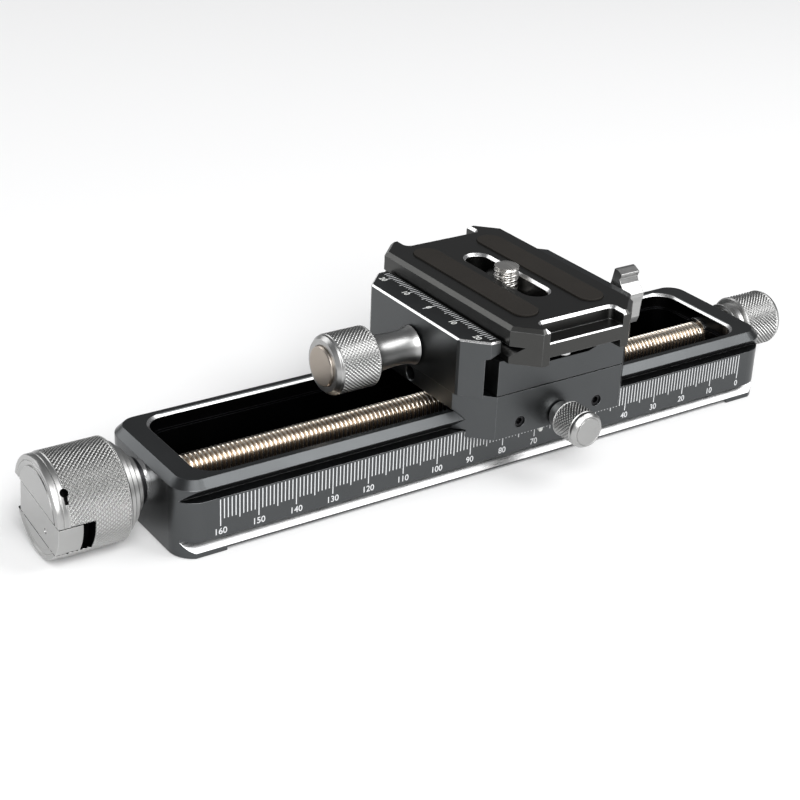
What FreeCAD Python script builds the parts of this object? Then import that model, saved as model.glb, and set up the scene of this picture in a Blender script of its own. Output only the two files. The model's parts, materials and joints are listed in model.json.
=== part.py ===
import FreeCAD, Part
import Sketcher
import math
import os

os.makedirs("parts", exist_ok=True)

# Macro focusing rail, millimetres. X runs along the rail, the scale face looks along -Y, Z is up.
# The origin is the mouth of the tripod socket, centred on the underside.
doc = FreeCAD.newDocument("focusing_rail")
sheet = doc.addObject("Spreadsheet::Sheet", "dims")


class Size:
    """A length or angle that knows its number and the sheet expression that it comes from."""

    def __init__(self, text, value):
        self.text = text
        self.value = value

    def _join(self, other, sign, value):
        return Size("(%s %s %s)" % (self.text, sign, words(other)), value)

    def __add__(self, other):
        return self._join(other, "+", self.value + number(other))

    def __sub__(self, other):
        return self._join(other, "-", self.value - number(other))

    def __mul__(self, other):
        return self._join(other, "*", self.value * number(other))

    def __truediv__(self, other):
        return self._join(other, "/", self.value / number(other))

    def __radd__(self, other):
        return Size("(%s + %s)" % (words(other), self.text), number(other) + self.value)

    def __rsub__(self, other):
        return Size("(%s - %s)" % (words(other), self.text), number(other) - self.value)

    def __rmul__(self, other):
        return Size("(%s * %s)" % (words(other), self.text), number(other) * self.value)

    def __neg__(self):
        return Size("(0 - %s)" % self.text, -self.value)


def number(value):
    return value.value if isinstance(value, Size) else float(value)


def words(value):
    return value.text if isinstance(value, Size) else repr(float(value))


row = 0


def size(name, value):
    """Writes one driving dimension to the sheet and returns it."""
    global row
    row += 1
    sheet.set("A%d" % row, name)
    sheet.set("B%d" % row, str(value))
    sheet.setAlias("B%d" % row, name)
    return Size("dims." + name, float(value))


# Rail
rail_length = size("rail_length", 180.0)
rail_width = size("rail_width", 39.0)
rail_height = size("rail_height", 19.5)
rail_corner = size("rail_corner", 6.5)
rail_chamfer = size("rail_chamfer", 1.9)
vee_depth = size("vee_depth", 3.1)
face_bottom = size("face_bottom", 4.35)
dovetail_width = size("dovetail_width", 38.0)
dovetail_root_width = size("dovetail_root_width", 33.0)
dovetail_wall = size("dovetail_wall", 0.65)
foot_height = size("foot_height", 0.8)
foot_length = size("foot_length", 12.0)
well_wall = size("well_wall", 7.6)
well_side = size("well_side", 4.1)
well_step = size("well_step", 1.0)
well_step_depth = size("well_step_depth", 4.0)
well_floor = size("well_floor", 5.0)
well_corner = size("well_corner", 5.5)
well_edge = size("well_edge", 0.7)

# Lead screw, its bearings and the two knobs on it
screw_height = size("screw_height", 12.6)
screw_radius = size("screw_radius", 3.5)
journal_radius = size("journal_radius", 3.0)
running_gap = size("running_gap", 0.05)
rest_gap = size("rest_gap", 0.3)
bush_radius = size("bush_radius", 4.4)
bush_flange_radius = size("bush_flange_radius", 5.2)
bush_flange = size("bush_flange", 1.2)
washer_radius = size("washer_radius", 5.8)
washer_thickness = size("washer_thickness", 0.9)
knob_gap = size("knob_gap", 2.8)
knob_hub_radius = size("knob_hub_radius", 7.0)
knob_hub = size("knob_hub", 2.0)
knob_ring_radius = size("knob_ring_radius", 9.4)
knob_ring = size("knob_ring", 1.7)
knob_shoulder_radius = size("knob_shoulder_radius", 10.9)
knob_shoulder = size("knob_shoulder", 1.6)
knob_radius = size("knob_radius", 12.5)
knob_length = size("knob_length", 23.4)
knob_rim = size("knob_rim", 2.6)
knob_rim_step = size("knob_rim_step", 0.2)
knob_end_radius = size("knob_end_radius", 12.1)
knob_wall = size("knob_wall", 4.0)
grub_radius = size("grub_radius", 1.2)
grub_place = size("grub_place", 5.0)
index_hole_radius = size("index_hole_radius", 1.0)
index_hole_depth = size("index_hole_depth", 3.0)
index_hole_place = size("index_hole_place", 2.8)
index_hole_angle = size("index_hole_angle", 45.9)
small_knob_gap = size("small_knob_gap", 1.5)
small_knob_collar = size("small_knob_collar", 3.6)
small_knob_length = size("small_knob_length", 12.6)
small_knob_radius = size("small_knob_radius", 7.66)
small_collar_radius = size("small_collar_radius", 5.5)
small_collar_flare = size("small_collar_flare", 6.5)

# Folding crank
crank_width = size("crank_width", 8.0)
crank_thickness = size("crank_thickness", 3.0)
crank_leg = size("crank_leg", 5.9)
crank_offset = size("crank_offset", 2.4)
crank_gap = size("crank_gap", 0.25)
crank_tilt = size("crank_tilt", 7.5)
nail_gap = size("nail_gap", 3.0)
leg_inside = size("leg_inside", 8.7)
leg_outside = size("leg_outside", 12.3)
hinge_offset = size("hinge_offset", 8.5)
hinge_radius = size("hinge_radius", 0.8)
hinge_cover = size("hinge_cover", 1.4)
index_pin_radius = size("index_pin_radius", 0.75)
index_pin_depth = size("index_pin_depth", 1.6)
index_pin_across = size("index_pin_across", 5.0)
index_pin_side = size("index_pin_side", 3.2)

# Carriage
carriage_place = size("carriage_place", 12.7)
carriage_length = size("carriage_length", 55.0)
carriage_width = size("carriage_width", 50.0)
carriage_bottom = size("carriage_bottom", 12.8)
carriage_top = size("carriage_top", 24.6)
carriage_cut = size("carriage_cut", 7.85)
slide_gap = size("slide_gap", 0.11)
gib_back = size("gib_back", 21.6)
gib_half_length = size("gib_half_length", 19.5)
adjuster_spacing = size("adjuster_spacing", 24.2)
adjuster_height = size("adjuster_height", 16.2)
adjuster_radius = size("adjuster_radius", 1.5)
adjuster_socket = size("adjuster_socket", 0.85)
end_hole_radius = size("end_hole_radius", 1.8)
end_hole_side = size("end_hole_side", 1.25)
end_hole_drop = size("end_hole_drop", 2.6)
end_hole_edge = size("end_hole_edge", 0.2)
pointer_place = size("pointer_place", 1.65)
pointer_width = size("pointer_width", 1.2)
pointer_length = size("pointer_length", 3.9)
pointer_thickness = size("pointer_thickness", 0.45)
lock_height = size("lock_height", 15.7)
lock_radius = size("lock_radius", 4.75)
lock_start = size("lock_start", 28.5)
lock_end = size("lock_end", 36.0)
lock_face = size("lock_face", 37.1)
lock_face_radius = size("lock_face_radius", 4.0)
lock_collar_radius = size("lock_collar_radius", 3.4)
lock_stem_radius = size("lock_stem_radius", 1.9)

# Half nut and its release lever
nut_half_length = size("nut_half_length", 14.0)
nut_half_width = size("nut_half_width", 9.0)
nut_top = size("nut_top", 22.8)
nut_lift = size("nut_lift", 1.2)
shaft_radius = size("shaft_radius", 2.0)
shaft_side = size("shaft_side", 11.6)
shaft_height = size("shaft_height", 30.8)
shaft_inner = size("shaft_inner", 4.5)
crankpin_radius = size("crankpin_radius", 0.9)
crankpin_throw = size("crankpin_throw", 1.046)
crankpin_angle = size("crankpin_angle", 35.0)
yoke_thickness = size("yoke_thickness", 5.0)
lever_width = size("lever_width", 6.0)

# Clamp
clamp_floor = size("clamp_floor", 34.2)
clamp_top = size("clamp_top", 39.7)
clamp_chamfer = size("clamp_chamfer", 0.45)
base_left = size("base_left", 19.8)
joint_line = size("joint_line", 0.3)
jaw_inner = size("jaw_inner", 23.4)
jaw_outer = size("jaw_outer", 28.2)
jaw_cut = size("jaw_cut", 5.7)
jaw_rise = size("jaw_rise", 0.9)
land_side = size("land_side", 19.7)
land_rise = size("land_rise", 1.5)
nose_half_length = size("nose_half_length", 21.6)
stop_way = size("stop_way", 11.0)
stop_way_floor = size("stop_way_floor", 30.95)
stop_way_depth = size("stop_way_depth", 9.0)
relief_side = size("relief_side", 18.3)
relief_width = size("relief_width", 4.4)
relief_floor = size("relief_floor", 29.8)
relief_depth = size("relief_depth", 6.0)
base_bore = size("base_bore", 16.0)
clamp_screw_height = size("clamp_screw_height", 30.6)
clamp_screw_radius = size("clamp_screw_radius", 3.0)
clamp_knob_radius = size("clamp_knob_radius", 7.67)
clamp_knob_start = size("clamp_knob_start", 29.1)
clamp_knob_end = size("clamp_knob_end", 41.45)
clamp_knob_face = size("clamp_knob_face", 42.2)
clamp_knob_chamfer = size("clamp_knob_chamfer", 1.0)
clamp_neck_start = size("clamp_neck_start", 15.9)
clamp_cap_radius = size("clamp_cap_radius", 5.1)
guide_radius = size("guide_radius", 1.5)
guide_spacing = size("guide_spacing", 30.0)
guide_height = size("guide_height", 29.2)
guide_length = size("guide_length", 16.0)
guide_seat = size("guide_seat", 3.6)
fixing_spacing = size("fixing_spacing", 26.0)
fixing_radius = size("fixing_radius", 1.5)
fixing_head_radius = size("fixing_head_radius", 2.75)
fixing_head = size("fixing_head", 2.8)
fixing_side = size("fixing_side", 20.6)

# Quick-release plate and camera screw
plate_width = size("plate_width", 38.0)
plate_length = size("plate_length", 66.0)
plate_bottom = size("plate_bottom", 34.5)
plate_top = size("plate_top", 44.0)
plate_flange = size("plate_flange", 1.8)
plate_groove = size("plate_groove", 2.8)
plate_bevel = size("plate_bevel", 1.0)
plate_cut = size("plate_cut", 5.7)
notch_width = size("notch_width", 22.6)
notch_depth = size("notch_depth", 4.7)
notch_height = size("notch_height", 3.55)
notch_corner = size("notch_corner", 1.2)
notch_edge = size("notch_edge", 0.7)
slot_width = size("slot_width", 6.6)
slot_length = size("slot_length", 30.6)
slot_edge = size("slot_edge", 0.7)
recess_width = size("recess_width", 14.8)
recess_length = size("recess_length", 42.0)
recess_height = size("recess_height", 3.5)
channel_half = size("channel_half", 11.0)
channel_height = size("channel_height", 2.1)
stop_place = size("stop_place", 4.0)
stop_side = size("stop_side", 29.6)
stop_radius = size("stop_radius", 1.7)
stop_thread = size("stop_thread", 1.0)
strip_width = size("strip_width", 7.3)
strip_length = size("strip_length", 48.6)
strip_offset = size("strip_offset", 10.15)
strip_depth = size("strip_depth", 0.8)
strip_proud = size("strip_proud", 0.35)
camera_screw_radius = size("camera_screw_radius", 3.175)
camera_screw_top = size("camera_screw_top", 46.7)
camera_head_radius = size("camera_head_radius", 6.4)
camera_head = size("camera_head", 1.7)
camera_neck_radius = size("camera_neck_radius", 2.6)
camera_thread = size("camera_thread", 2.5)
camera_relief = size("camera_relief", 0.075)
camera_undercut = size("camera_undercut", 0.8)
drive_length = size("drive_length", 11.0)
drive_width = size("drive_width", 1.2)
drive_depth = size("drive_depth", 0.8)
slider_radius = size("slider_radius", 6.9)
slider_thickness = size("slider_thickness", 0.75)

# Tripod socket, 3/8 inch coarse thread
socket_radius = size("socket_radius", 4.2)
insert_radius = size("insert_radius", 6.5)
doc.recompute()

pieces = {}


def bind(thing, prop, value):
    thing.setExpression(prop, words(value))


def place(thing, x, y, z):
    """Puts an object's own origin at a point worked out from the sheet."""
    bind(thing, "Placement.Base.x", x)
    bind(thing, "Placement.Base.y", y)
    bind(thing, "Placement.Base.z", z)


def turn(thing, rotation):
    thing.Placement = FreeCAD.Placement(FreeCAD.Vector(), rotation)


ALONG_X = FreeCAD.Rotation(FreeCAD.Vector(0, 1, 0), 90)
AGAINST_X = FreeCAD.Rotation(FreeCAD.Vector(0, 1, 0), -90)
AGAINST_Y = FreeCAD.Rotation(FreeCAD.Vector(1, 0, 0), 90)
ALONG_Z = FreeCAD.Rotation()


def origin_plane(body, role):
    for feature in body.Origin.OriginFeatures:
        if feature.Role == role:
            return feature
    raise ValueError(role)


def new_body(name):
    body = doc.addObject("PartDesign::Body", name)
    body.Label = name
    return body


def sketch_on(body, name, role, offset=0.0):
    sketch = body.newObject("Sketcher::SketchObject", name)
    sketch.AttachmentSupport = (origin_plane(body, role), [""])
    sketch.MapMode = "FlatFace"
    bind(sketch, "AttachmentOffset.Base.z", offset)
    return sketch


def fix_point(sketch, geometry, end, x, y):
    """Holds one end of a line, or a centre, at a place from the sheet."""
    if not isinstance(x, Size) and x == 0:
        sketch.addConstraint(Sketcher.Constraint("PointOnObject", geometry, end, -2))
    else:
        index = sketch.addConstraint(Sketcher.Constraint("DistanceX", -1, 1, geometry, end, number(x)))
        sketch.setExpression("Constraints[%d]" % index, words(x))
    if not isinstance(y, Size) and y == 0:
        sketch.addConstraint(Sketcher.Constraint("PointOnObject", geometry, end, -1))
    else:
        index = sketch.addConstraint(Sketcher.Constraint("DistanceY", -1, 1, geometry, end, number(y)))
        sketch.setExpression("Constraints[%d]" % index, words(y))


def outline(sketch, points):
    """A closed outline of straight edges through the given points."""
    first = sketch.GeometryCount
    count = len(points)
    for i in range(count):
        a = FreeCAD.Vector(number(points[i][0]), number(points[i][1]), 0)
        j = (i + 1) % count
        b = FreeCAD.Vector(number(points[j][0]), number(points[j][1]), 0)
        sketch.addGeometry(Part.LineSegment(a, b), False)
    for i in range(count):
        j = (i + 1) % count
        sketch.addConstraint(Sketcher.Constraint("Coincident", first + i, 2, first + j, 1))
    for i in range(count):
        fix_point(sketch, first + i, 1, points[i][0], points[i][1])


def circle(sketch, x, y, radius):
    centre = FreeCAD.Vector(number(x), number(y), 0)
    index = sketch.addGeometry(Part.Circle(centre, FreeCAD.Vector(0, 0, 1), number(radius)), False)
    fix_point(sketch, index, 3, x, y)
    held = sketch.addConstraint(Sketcher.Constraint("Radius", index, number(radius)))
    sketch.setExpression("Constraints[%d]" % held, words(radius))


def rectangle(sketch, x0, y0, x1, y1):
    outline(sketch, [(x0, y0), (x1, y0), (x1, y1), (x0, y1)])


def pad(body, name, sketch, length, middle=False, back=False):
    feature = body.newObject("PartDesign::Pad", name)
    feature.Profile = sketch
    bind(feature, "Length", length)
    feature.Midplane = middle
    feature.Reversed = back
    return feature


def pocket(body, name, sketch, length, middle=False, back=False):
    """Cuts the sketch into the solid, and makes sure that something was cut."""
    doc.recompute()
    before = body.Shape.Volume
    feature = body.newObject("PartDesign::Pocket", name)
    feature.Profile = sketch
    bind(feature, "Length", length)
    feature.Midplane = middle
    feature.Reversed = back
    doc.recompute()
    if not body.Shape.Volume < before:
        raise ValueError("%s cuts nothing" % name)
    return feature


def dress(body, kind, name, amount, test):
    """Fillets or chamfers the edges whose middle point and direction pass the test."""
    doc.recompute()
    base = body.Tip
    names = []
    for i, edge in enumerate(base.Shape.Edges):
        if edge.Length < 1e-6:
            continue
        middle = edge.valueAt((edge.FirstParameter + edge.LastParameter) / 2)
        along = edge.tangentAt((edge.FirstParameter + edge.LastParameter) / 2)
        if test(middle, along, edge):
            names.append("Edge%d" % (i + 1))
    if not names:
        raise ValueError("%s finds no edge" % name)
    feature = body.newObject("PartDesign::" + kind, name)
    feature.Base = (base, names)
    if kind == "Fillet":
        bind(feature, "Radius", amount)
    else:
        bind(feature, "Size", amount)
    return feature


def upright(along):
    return abs(along.z) > 0.999


def near(a, b, tolerance=0.05):
    return abs(a - number(b)) < tolerance


def turned(name, profile, rotation, x, y, z):
    """A piece turned on a lathe: profile points are (radius, height along its axis)."""
    body = new_body(name)
    sketch = sketch_on(body, name + "_profile", "XZ_Plane")
    outline(sketch, profile)
    feature = body.newObject("PartDesign::Revolution", name + "_turned")
    feature.Profile = sketch
    feature.ReferenceAxis = (sketch, ["V_Axis"])
    feature.Angle = 360.0
    turn(body, rotation)
    place(body, x, y, z)
    return body


def rod(radius, start, end):
    """The profile of a plain round rod."""
    return [(0, start), (radius, start), (radius, end), (0, end)]


def ring(inner, outer, start, end):
    return [(inner, start), (outer, start), (outer, end), (inner, end)]


def keep(name, thing):
    pieces[name] = thing
    thing.Label = name
    return thing


def cylinder(name, radius, height, rotation, x, y, z):
    thing = doc.addObject("Part::Cylinder", name)
    bind(thing, "Radius", radius)
    bind(thing, "Height", height)
    turn(thing, rotation)
    place(thing, x, y, z)
    return thing


# Rail: a bar with rounded ends, a vee along each top edge, a clamp dovetail below and a long well
half_length = rail_length / 2
half_width = rail_width / 2
tip_height = rail_height - rail_chamfer
groove_floor = tip_height - vee_depth
groove_root = half_width - vee_depth
dovetail_root = dovetail_root_width / 2
dovetail_half = dovetail_width / 2
dovetail_lip = face_bottom - dovetail_wall - (dovetail_half - dovetail_root)
well_half_length = half_length - well_wall
well_half_width = half_width - well_side
wall_inside = well_half_length - well_step
beyond = 2.0

rail = new_body("rail_base")
bar = sketch_on(rail, "rail_outline", "XY_Plane")
rectangle(bar, -half_length, -half_width, half_length, half_width)
pad(rail, "rail_bar", bar, rail_height)
dress(rail, "Fillet", "rail_ends", rail_corner, lambda p, d, e: upright(d))
dress(rail, "Chamfer", "rail_top_edge", rail_chamfer, lambda p, d, e: near(p.z, rail_height))

for side, word in ((1, "rear"), (-1, "front")):
    vee = sketch_on(rail, "vee_" + word, "YZ_Plane")
    outline(vee, [(side * groove_root, groove_floor), (side * half_width, tip_height),
                  (side * (half_width + beyond), tip_height), (side * (half_width + beyond), groove_floor)])
    pocket(rail, "vee_cut_" + word, vee, rail_length + beyond, middle=True)
    tail = sketch_on(rail, "dovetail_" + word, "YZ_Plane")
    outline(tail, [(side * dovetail_root, face_bottom), (side * dovetail_root, face_bottom - dovetail_wall),
                   (side * dovetail_half, dovetail_lip), (side * dovetail_half, -beyond),
                   (side * (half_width + beyond), -beyond), (side * (half_width + beyond), face_bottom)])
    pocket(rail, "dovetail_cut_" + word, tail, rail_length + beyond, middle=True)

feet = sketch_on(rail, "feet_gap", "XY_Plane")
rectangle(feet, -(half_length - foot_length), -(half_width + beyond),
          half_length - foot_length, half_width + beyond)
pocket(rail, "feet_cut", feet, foot_height, back=True)

upper = sketch_on(rail, "well_mouth", "XY_Plane", rail_height)
rectangle(upper, -well_half_length, -well_half_width, well_half_length, well_half_width)
pocket(rail, "well_mouth_cut", upper, well_step_depth)
lower = sketch_on(rail, "well_bottom", "XY_Plane", rail_height)
rectangle(lower, -wall_inside, -(well_half_width - well_step), wall_inside, well_half_width - well_step)
pocket(rail, "well_bottom_cut", lower, rail_height - well_floor)
dress(rail, "Fillet", "well_corners", well_corner,
      lambda p, d, e: upright(d) and near(abs(p.x), well_half_length) and near(abs(p.y), well_half_width))
dress(rail, "Fillet", "well_low_corners", well_corner - well_step,
      lambda p, d, e: upright(d) and near(abs(p.x), wall_inside)
      and near(abs(p.y), well_half_width - well_step))
dress(rail, "Chamfer", "well_rim", well_edge,
      lambda p, d, e: near(p.z, rail_height) and abs(p.y) < number(well_half_width) + 0.1
      and abs(p.x) < number(well_half_length) + 0.1)

bores = sketch_on(rail, "bearing_bores", "YZ_Plane")
circle(bores, 0, screw_height, bush_radius)
pocket(rail, "bearing_bores_cut", bores, rail_length + beyond, middle=True)
seat = sketch_on(rail, "socket_seat", "XY_Plane")
circle(seat, 0, 0, insert_radius)
pocket(rail, "socket_seat_cut", seat, well_floor + beyond, back=True)
keep("rail_base", rail)

# Threaded tripod insert, from the level of the feet to the floor of the well
keep("tripod_insert", turned("tripod_insert", ring(socket_radius, insert_radius, 0, well_floor), ALONG_Z, 0, 0, 0))

# Flanged bearing bushes in the two end walls
bush_bore = journal_radius + running_gap
bush_profile = [(bush_bore, -bush_flange), (bush_flange_radius, -bush_flange), (bush_flange_radius, 0),
                (bush_radius, 0), (bush_radius, half_length - wall_inside - rest_gap),
                (bush_bore, half_length - wall_inside - rest_gap)]
keep("left_bearing_bush", turned("left_bearing_bush", bush_profile, ALONG_X, -half_length, 0, screw_height))
keep("right_bearing_bush", turned("right_bearing_bush", bush_profile, AGAINST_X, half_length, 0, screw_height))

# Lead screw: threaded between the walls, with a plain journal at each end
thread_end = wall_inside - 0.4
knob_inner = half_length + knob_gap
knob_end = knob_inner + knob_length
small_knob_inner = half_length + small_knob_gap
small_knob_barrel = small_knob_inner + small_knob_collar
small_knob_end = small_knob_barrel + small_knob_length
shaft_left = knob_end - crank_thickness - knob_wall
shaft_right = small_knob_end - knob_wall
keep("lead_screw", turned("lead_screw",
     [(0, -shaft_left), (journal_radius, -shaft_left), (journal_radius, -thread_end),
      (screw_radius, -thread_end), (screw_radius, thread_end), (journal_radius, thread_end),
      (journal_radius, shaft_right), (0, shaft_right)], ALONG_X, 0, 0, screw_height))
washer_place = half_length + bush_flange + rest_gap
keep("thrust_washer", turned("thrust_washer",
     ring(journal_radius + running_gap, washer_radius, washer_place, washer_place + washer_thickness),
     AGAINST_X, 0, 0, screw_height))

# Main knob, drawn along its own axis: hub, two rings, barrel, smooth rim; u is across the crank's slot
tilt = math.radians(number(crank_tilt))
FOLDED = FreeCAD.Rotation(FreeCAD.Vector(0, -math.cos(tilt), -math.sin(tilt)),
                          FreeCAD.Vector(0, -math.sin(tilt), math.cos(tilt)),
                          FreeCAD.Vector(-1, 0, 0), "ZXY")
step1 = knob_inner + knob_hub
step2 = step1 + knob_ring
step3 = step2 + knob_shoulder
knob = turned("main_knob",
              [(journal_radius, knob_inner), (knob_hub_radius, knob_inner), (knob_hub_radius, step1),
               (knob_ring_radius, step1), (knob_ring_radius, step2), (knob_shoulder_radius, step2),
               (knob_shoulder_radius, step3), (knob_radius - 0.4, step3), (knob_radius, step3 + 0.4),
               (knob_radius, knob_end - knob_rim - 0.3), (knob_radius - knob_rim_step, knob_end - knob_rim),
               (knob_radius - knob_rim_step, knob_end - 0.3), (knob_end_radius, knob_end), (0, knob_end),
               (0, shaft_left + rest_gap), (journal_radius, shaft_left + rest_gap)],
              FOLDED, 0, 0, screw_height)
slot_half = crank_width / 2 + crank_gap
across = sketch_on(knob, "crank_bar_slot", "XY_Plane", knob_end)
rectangle(across, -(knob_radius + beyond), -(crank_offset + slot_half), knob_radius + beyond, slot_half - crank_offset)
pocket(knob, "crank_bar_cut", across, crank_thickness + crank_gap)
down = sketch_on(knob, "crank_leg_slot", "XY_Plane", knob_end)
rectangle(down, leg_inside - rest_gap, -(crank_offset + slot_half), knob_radius + beyond, slot_half - crank_offset)
pocket(knob, "crank_leg_cut", down, crank_leg + nail_gap)
hinge_height = knob_end - crank_thickness / 2
pin_hole = sketch_on(knob, "hinge_hole", "XZ_Plane", crank_offset)
circle(pin_hole, -hinge_offset, hinge_height, hinge_radius)
pocket(knob, "hinge_hole_cut", pin_hole, crank_width + 2 * hinge_cover, middle=True)
grub_hole = sketch_on(knob, "set_screw_hole", "XZ_Plane", journal_radius)
circle(grub_hole, 0, step3 + grub_place, grub_radius + running_gap)
pocket(knob, "set_screw_hole_cut", grub_hole, knob_radius, back=True)
index_hole = sketch_on(knob, "index_hole", "XZ_Plane")
circle(index_hole, 0, knob_end - index_hole_place, index_hole_radius)
turned_by = math.radians(90 + number(index_hole_angle))
index_depth = knob_radius - index_hole_depth
index_hole.AttachmentOffset = FreeCAD.Placement(
    FreeCAD.Vector(), FreeCAD.Rotation(FreeCAD.Vector(0, 1, 0), math.degrees(turned_by)))
bind(index_hole, "AttachmentOffset.Base.x", index_depth * math.sin(turned_by))
bind(index_hole, "AttachmentOffset.Base.z", index_depth * math.cos(turned_by))
pocket(knob, "index_hole_cut", index_hole, index_hole_depth + beyond, back=True)
keep("main_knob", knob)
grub_end = knob_radius - 1.7
keep("main_knob_set_screw", turned("main_knob_set_screw",
     [(0, journal_radius + rest_gap), (grub_radius, journal_radius + rest_gap), (grub_radius, grub_end),
      (grub_radius / 2, grub_end), (grub_radius / 2, grub_end - grub_radius), (0, grub_end - grub_radius)],
     FreeCAD.Rotation(FreeCAD.Vector(0, 0, 1), FreeCAD.Vector(0, math.sin(tilt), -math.cos(tilt))),
     -(step3 + grub_place), 0, screw_height))

# Crank: a flat bar with a short leg that folds over the rim, hinged at its rear end
crank = new_body("crank_arm")
side_view = sketch_on(crank, "crank_profile", "XZ_Plane", crank_offset)
bar_end = -(hinge_offset + crank_thickness / 2)
outline(side_view, [(bar_end, knob_end - crank_thickness), (leg_inside, knob_end - crank_thickness),
                    (leg_inside, knob_end - crank_leg), (leg_outside + beyond, knob_end - crank_leg),
                    (leg_outside + beyond, knob_end), (bar_end, knob_end)])
pad(crank, "crank_bar", side_view, crank_width, middle=True)
dress(crank, "Fillet", "crank_round_end", crank_thickness / 2 - 0.01,
      lambda p, d, e: near(p.x, bar_end) and abs(d.y) > 0.99)
trim = sketch_on(crank, "crank_trim", "XY_Plane", knob_end)
circle(trim, 0, 0, leg_outside)
circle(trim, 0, 0, knob_radius + 8.0)
pocket(crank, "crank_trim_cut", trim, crank_leg + beyond)
bore = sketch_on(crank, "crank_bore", "XZ_Plane", crank_offset)
circle(bore, -hinge_offset, hinge_height, hinge_radius + running_gap)
pocket(crank, "crank_bore_cut", bore, crank_width + beyond, middle=True)
dot = sketch_on(crank, "crank_dot", "XY_Plane", knob_end)
circle(dot, index_pin_across, -index_pin_side, index_pin_radius)
pocket(crank, "crank_dot_cut", dot, index_pin_depth)
turn(crank, FOLDED)
place(crank, 0, 0, screw_height)
keep("crank_arm", crank)
keep("crank_index_pin", cylinder("crank_index_pin", index_pin_radius, index_pin_depth - 0.2, FOLDED,
     -(knob_end - index_pin_depth),
     index_pin_side * math.sin(tilt) - index_pin_across * math.cos(tilt),
     screw_height - index_pin_across * math.sin(tilt) - index_pin_side * math.cos(tilt)))
hinge_start = crank_offset + crank_width / 2 + hinge_cover
keep("crank_hinge_pin", cylinder("crank_hinge_pin", hinge_radius, crank_width + 2 * hinge_cover,
     FreeCAD.Rotation(FreeCAD.Vector(0, 0, 1), FreeCAD.Vector(0, -math.sin(tilt), math.cos(tilt))),
     -hinge_height,
     hinge_offset * math.cos(tilt) + hinge_start * math.sin(tilt),
     screw_height + hinge_offset * math.sin(tilt) - hinge_start * math.cos(tilt)))

# Small knob on the right end of the screw
keep("right_knob", turned("right_knob",
     [(journal_radius, small_knob_inner), (small_collar_flare, small_knob_inner),
      (small_collar_radius, small_knob_inner + 1.4), (small_collar_radius, small_knob_barrel - 0.6),
      (small_collar_radius + 0.5, small_knob_barrel), (small_knob_radius - 0.4, small_knob_barrel),
      (small_knob_radius, small_knob_barrel + 0.4), (small_knob_radius, small_knob_end - 0.8),
      (small_knob_radius - 0.8, small_knob_end), (0, small_knob_end),
      (0, shaft_right + rest_gap), (journal_radius, shaft_right + rest_gap)], ALONG_X, 0, 0, screw_height))

# Carriage: straddles the rail, running on the two upper flats and held by the undercuts
half_carriage = carriage_length / 2
half_block = carriage_width / 2
skirt = half_width + rest_gap
roof = rail_height + rest_gap
lip_floor = groove_floor + rest_gap
lip_point = groove_root + rest_gap + slide_gap
vee_point = half_width + slide_gap
roof_edge = half_width - rail_chamfer - rest_gap + slide_gap

carriage = new_body("carriage")
top_view = sketch_on(carriage, "carriage_outline", "XY_Plane", carriage_bottom)
outline(top_view, [(-half_carriage, -(half_block - carriage_cut)), (-(half_carriage - carriage_cut), -half_block),
                   (half_carriage - carriage_cut, -half_block), (half_carriage, -(half_block - carriage_cut)),
                   (half_carriage, half_block - carriage_cut), (half_carriage - carriage_cut, half_block),
                   (-(half_carriage - carriage_cut), half_block), (-half_carriage, half_block - carriage_cut)])
pad(carriage, "carriage_block", top_view, carriage_top - carriage_bottom)
channel = sketch_on(carriage, "rail_channel", "YZ_Plane")
low = carriage_bottom - beyond
outline(channel, [(-skirt, low), (-skirt, lip_floor), (-lip_point, lip_floor), (-vee_point, tip_height),
                  (-roof_edge, roof), (roof_edge, roof), (vee_point, tip_height), (lip_point, lip_floor),
                  (skirt, lip_floor), (skirt, low)])
pocket(carriage, "rail_channel_cut", channel, carriage_length + beyond, middle=True)
gib_seat = sketch_on(carriage, "gib_seat", "YZ_Plane")
outline(gib_seat, [(-(gib_back + running_gap), lip_floor - running_gap), (-groove_root, lip_floor - running_gap),
                   (-groove_root, tip_height + running_gap), (-(gib_back + running_gap), tip_height + running_gap)])
pocket(carriage, "gib_seat_cut", gib_seat, 2 * (gib_half_length + rest_gap), middle=True)
window = sketch_on(carriage, "nut_window", "XY_Plane", carriage_top)
rectangle(window, -(nut_half_length + running_gap), -(nut_half_width + running_gap),
          nut_half_length + running_gap, nut_half_width + running_gap)
pocket(carriage, "nut_window_cut", window, carriage_top - roof + beyond)
yoke_half = yoke_thickness / 2
yoke_front = shaft_side + 2.2
side_window = sketch_on(carriage, "yoke_window", "XY_Plane", carriage_top)
rectangle(side_window, -(yoke_half + rest_gap), -(yoke_front + rest_gap), yoke_half + rest_gap, 0)
pocket(carriage, "yoke_window_cut", side_window, carriage_top - roof + beyond)
screws = sketch_on(carriage, "side_screws", "XZ_Plane", groove_root)
circle(screws, -adjuster_spacing / 2, adjuster_height, adjuster_radius + running_gap)
circle(screws, adjuster_spacing / 2, adjuster_height, adjuster_radius + running_gap)
circle(screws, 0, lock_height, lock_stem_radius + running_gap)
pocket(carriage, "side_screws_cut", screws, half_block, back=True)
taps = sketch_on(carriage, "fixing_taps", "XY_Plane", carriage_top)
for x in (-1, 1):
    for s in (-1, 1):
        circle(taps, x * fixing_spacing / 2, s * fixing_side, fixing_radius)
pocket(carriage, "fixing_taps_cut", taps, 4.0)
end_hole = sketch_on(carriage, "end_hole", "YZ_Plane", -half_carriage)
circle(end_hole, end_hole_side, carriage_top - end_hole_drop, end_hole_radius)
pocket(carriage, "end_hole_cut", end_hole, 3.0, back=True)
dress(carriage, "Chamfer", "end_hole_rim", end_hole_edge,
      lambda p, d, e: near(p.x, -number(half_carriage)) and near(p.y, end_hole_side, number(end_hole_radius) + 0.1)
      and near(e.Length, 2 * math.pi * number(end_hole_radius)))
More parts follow.
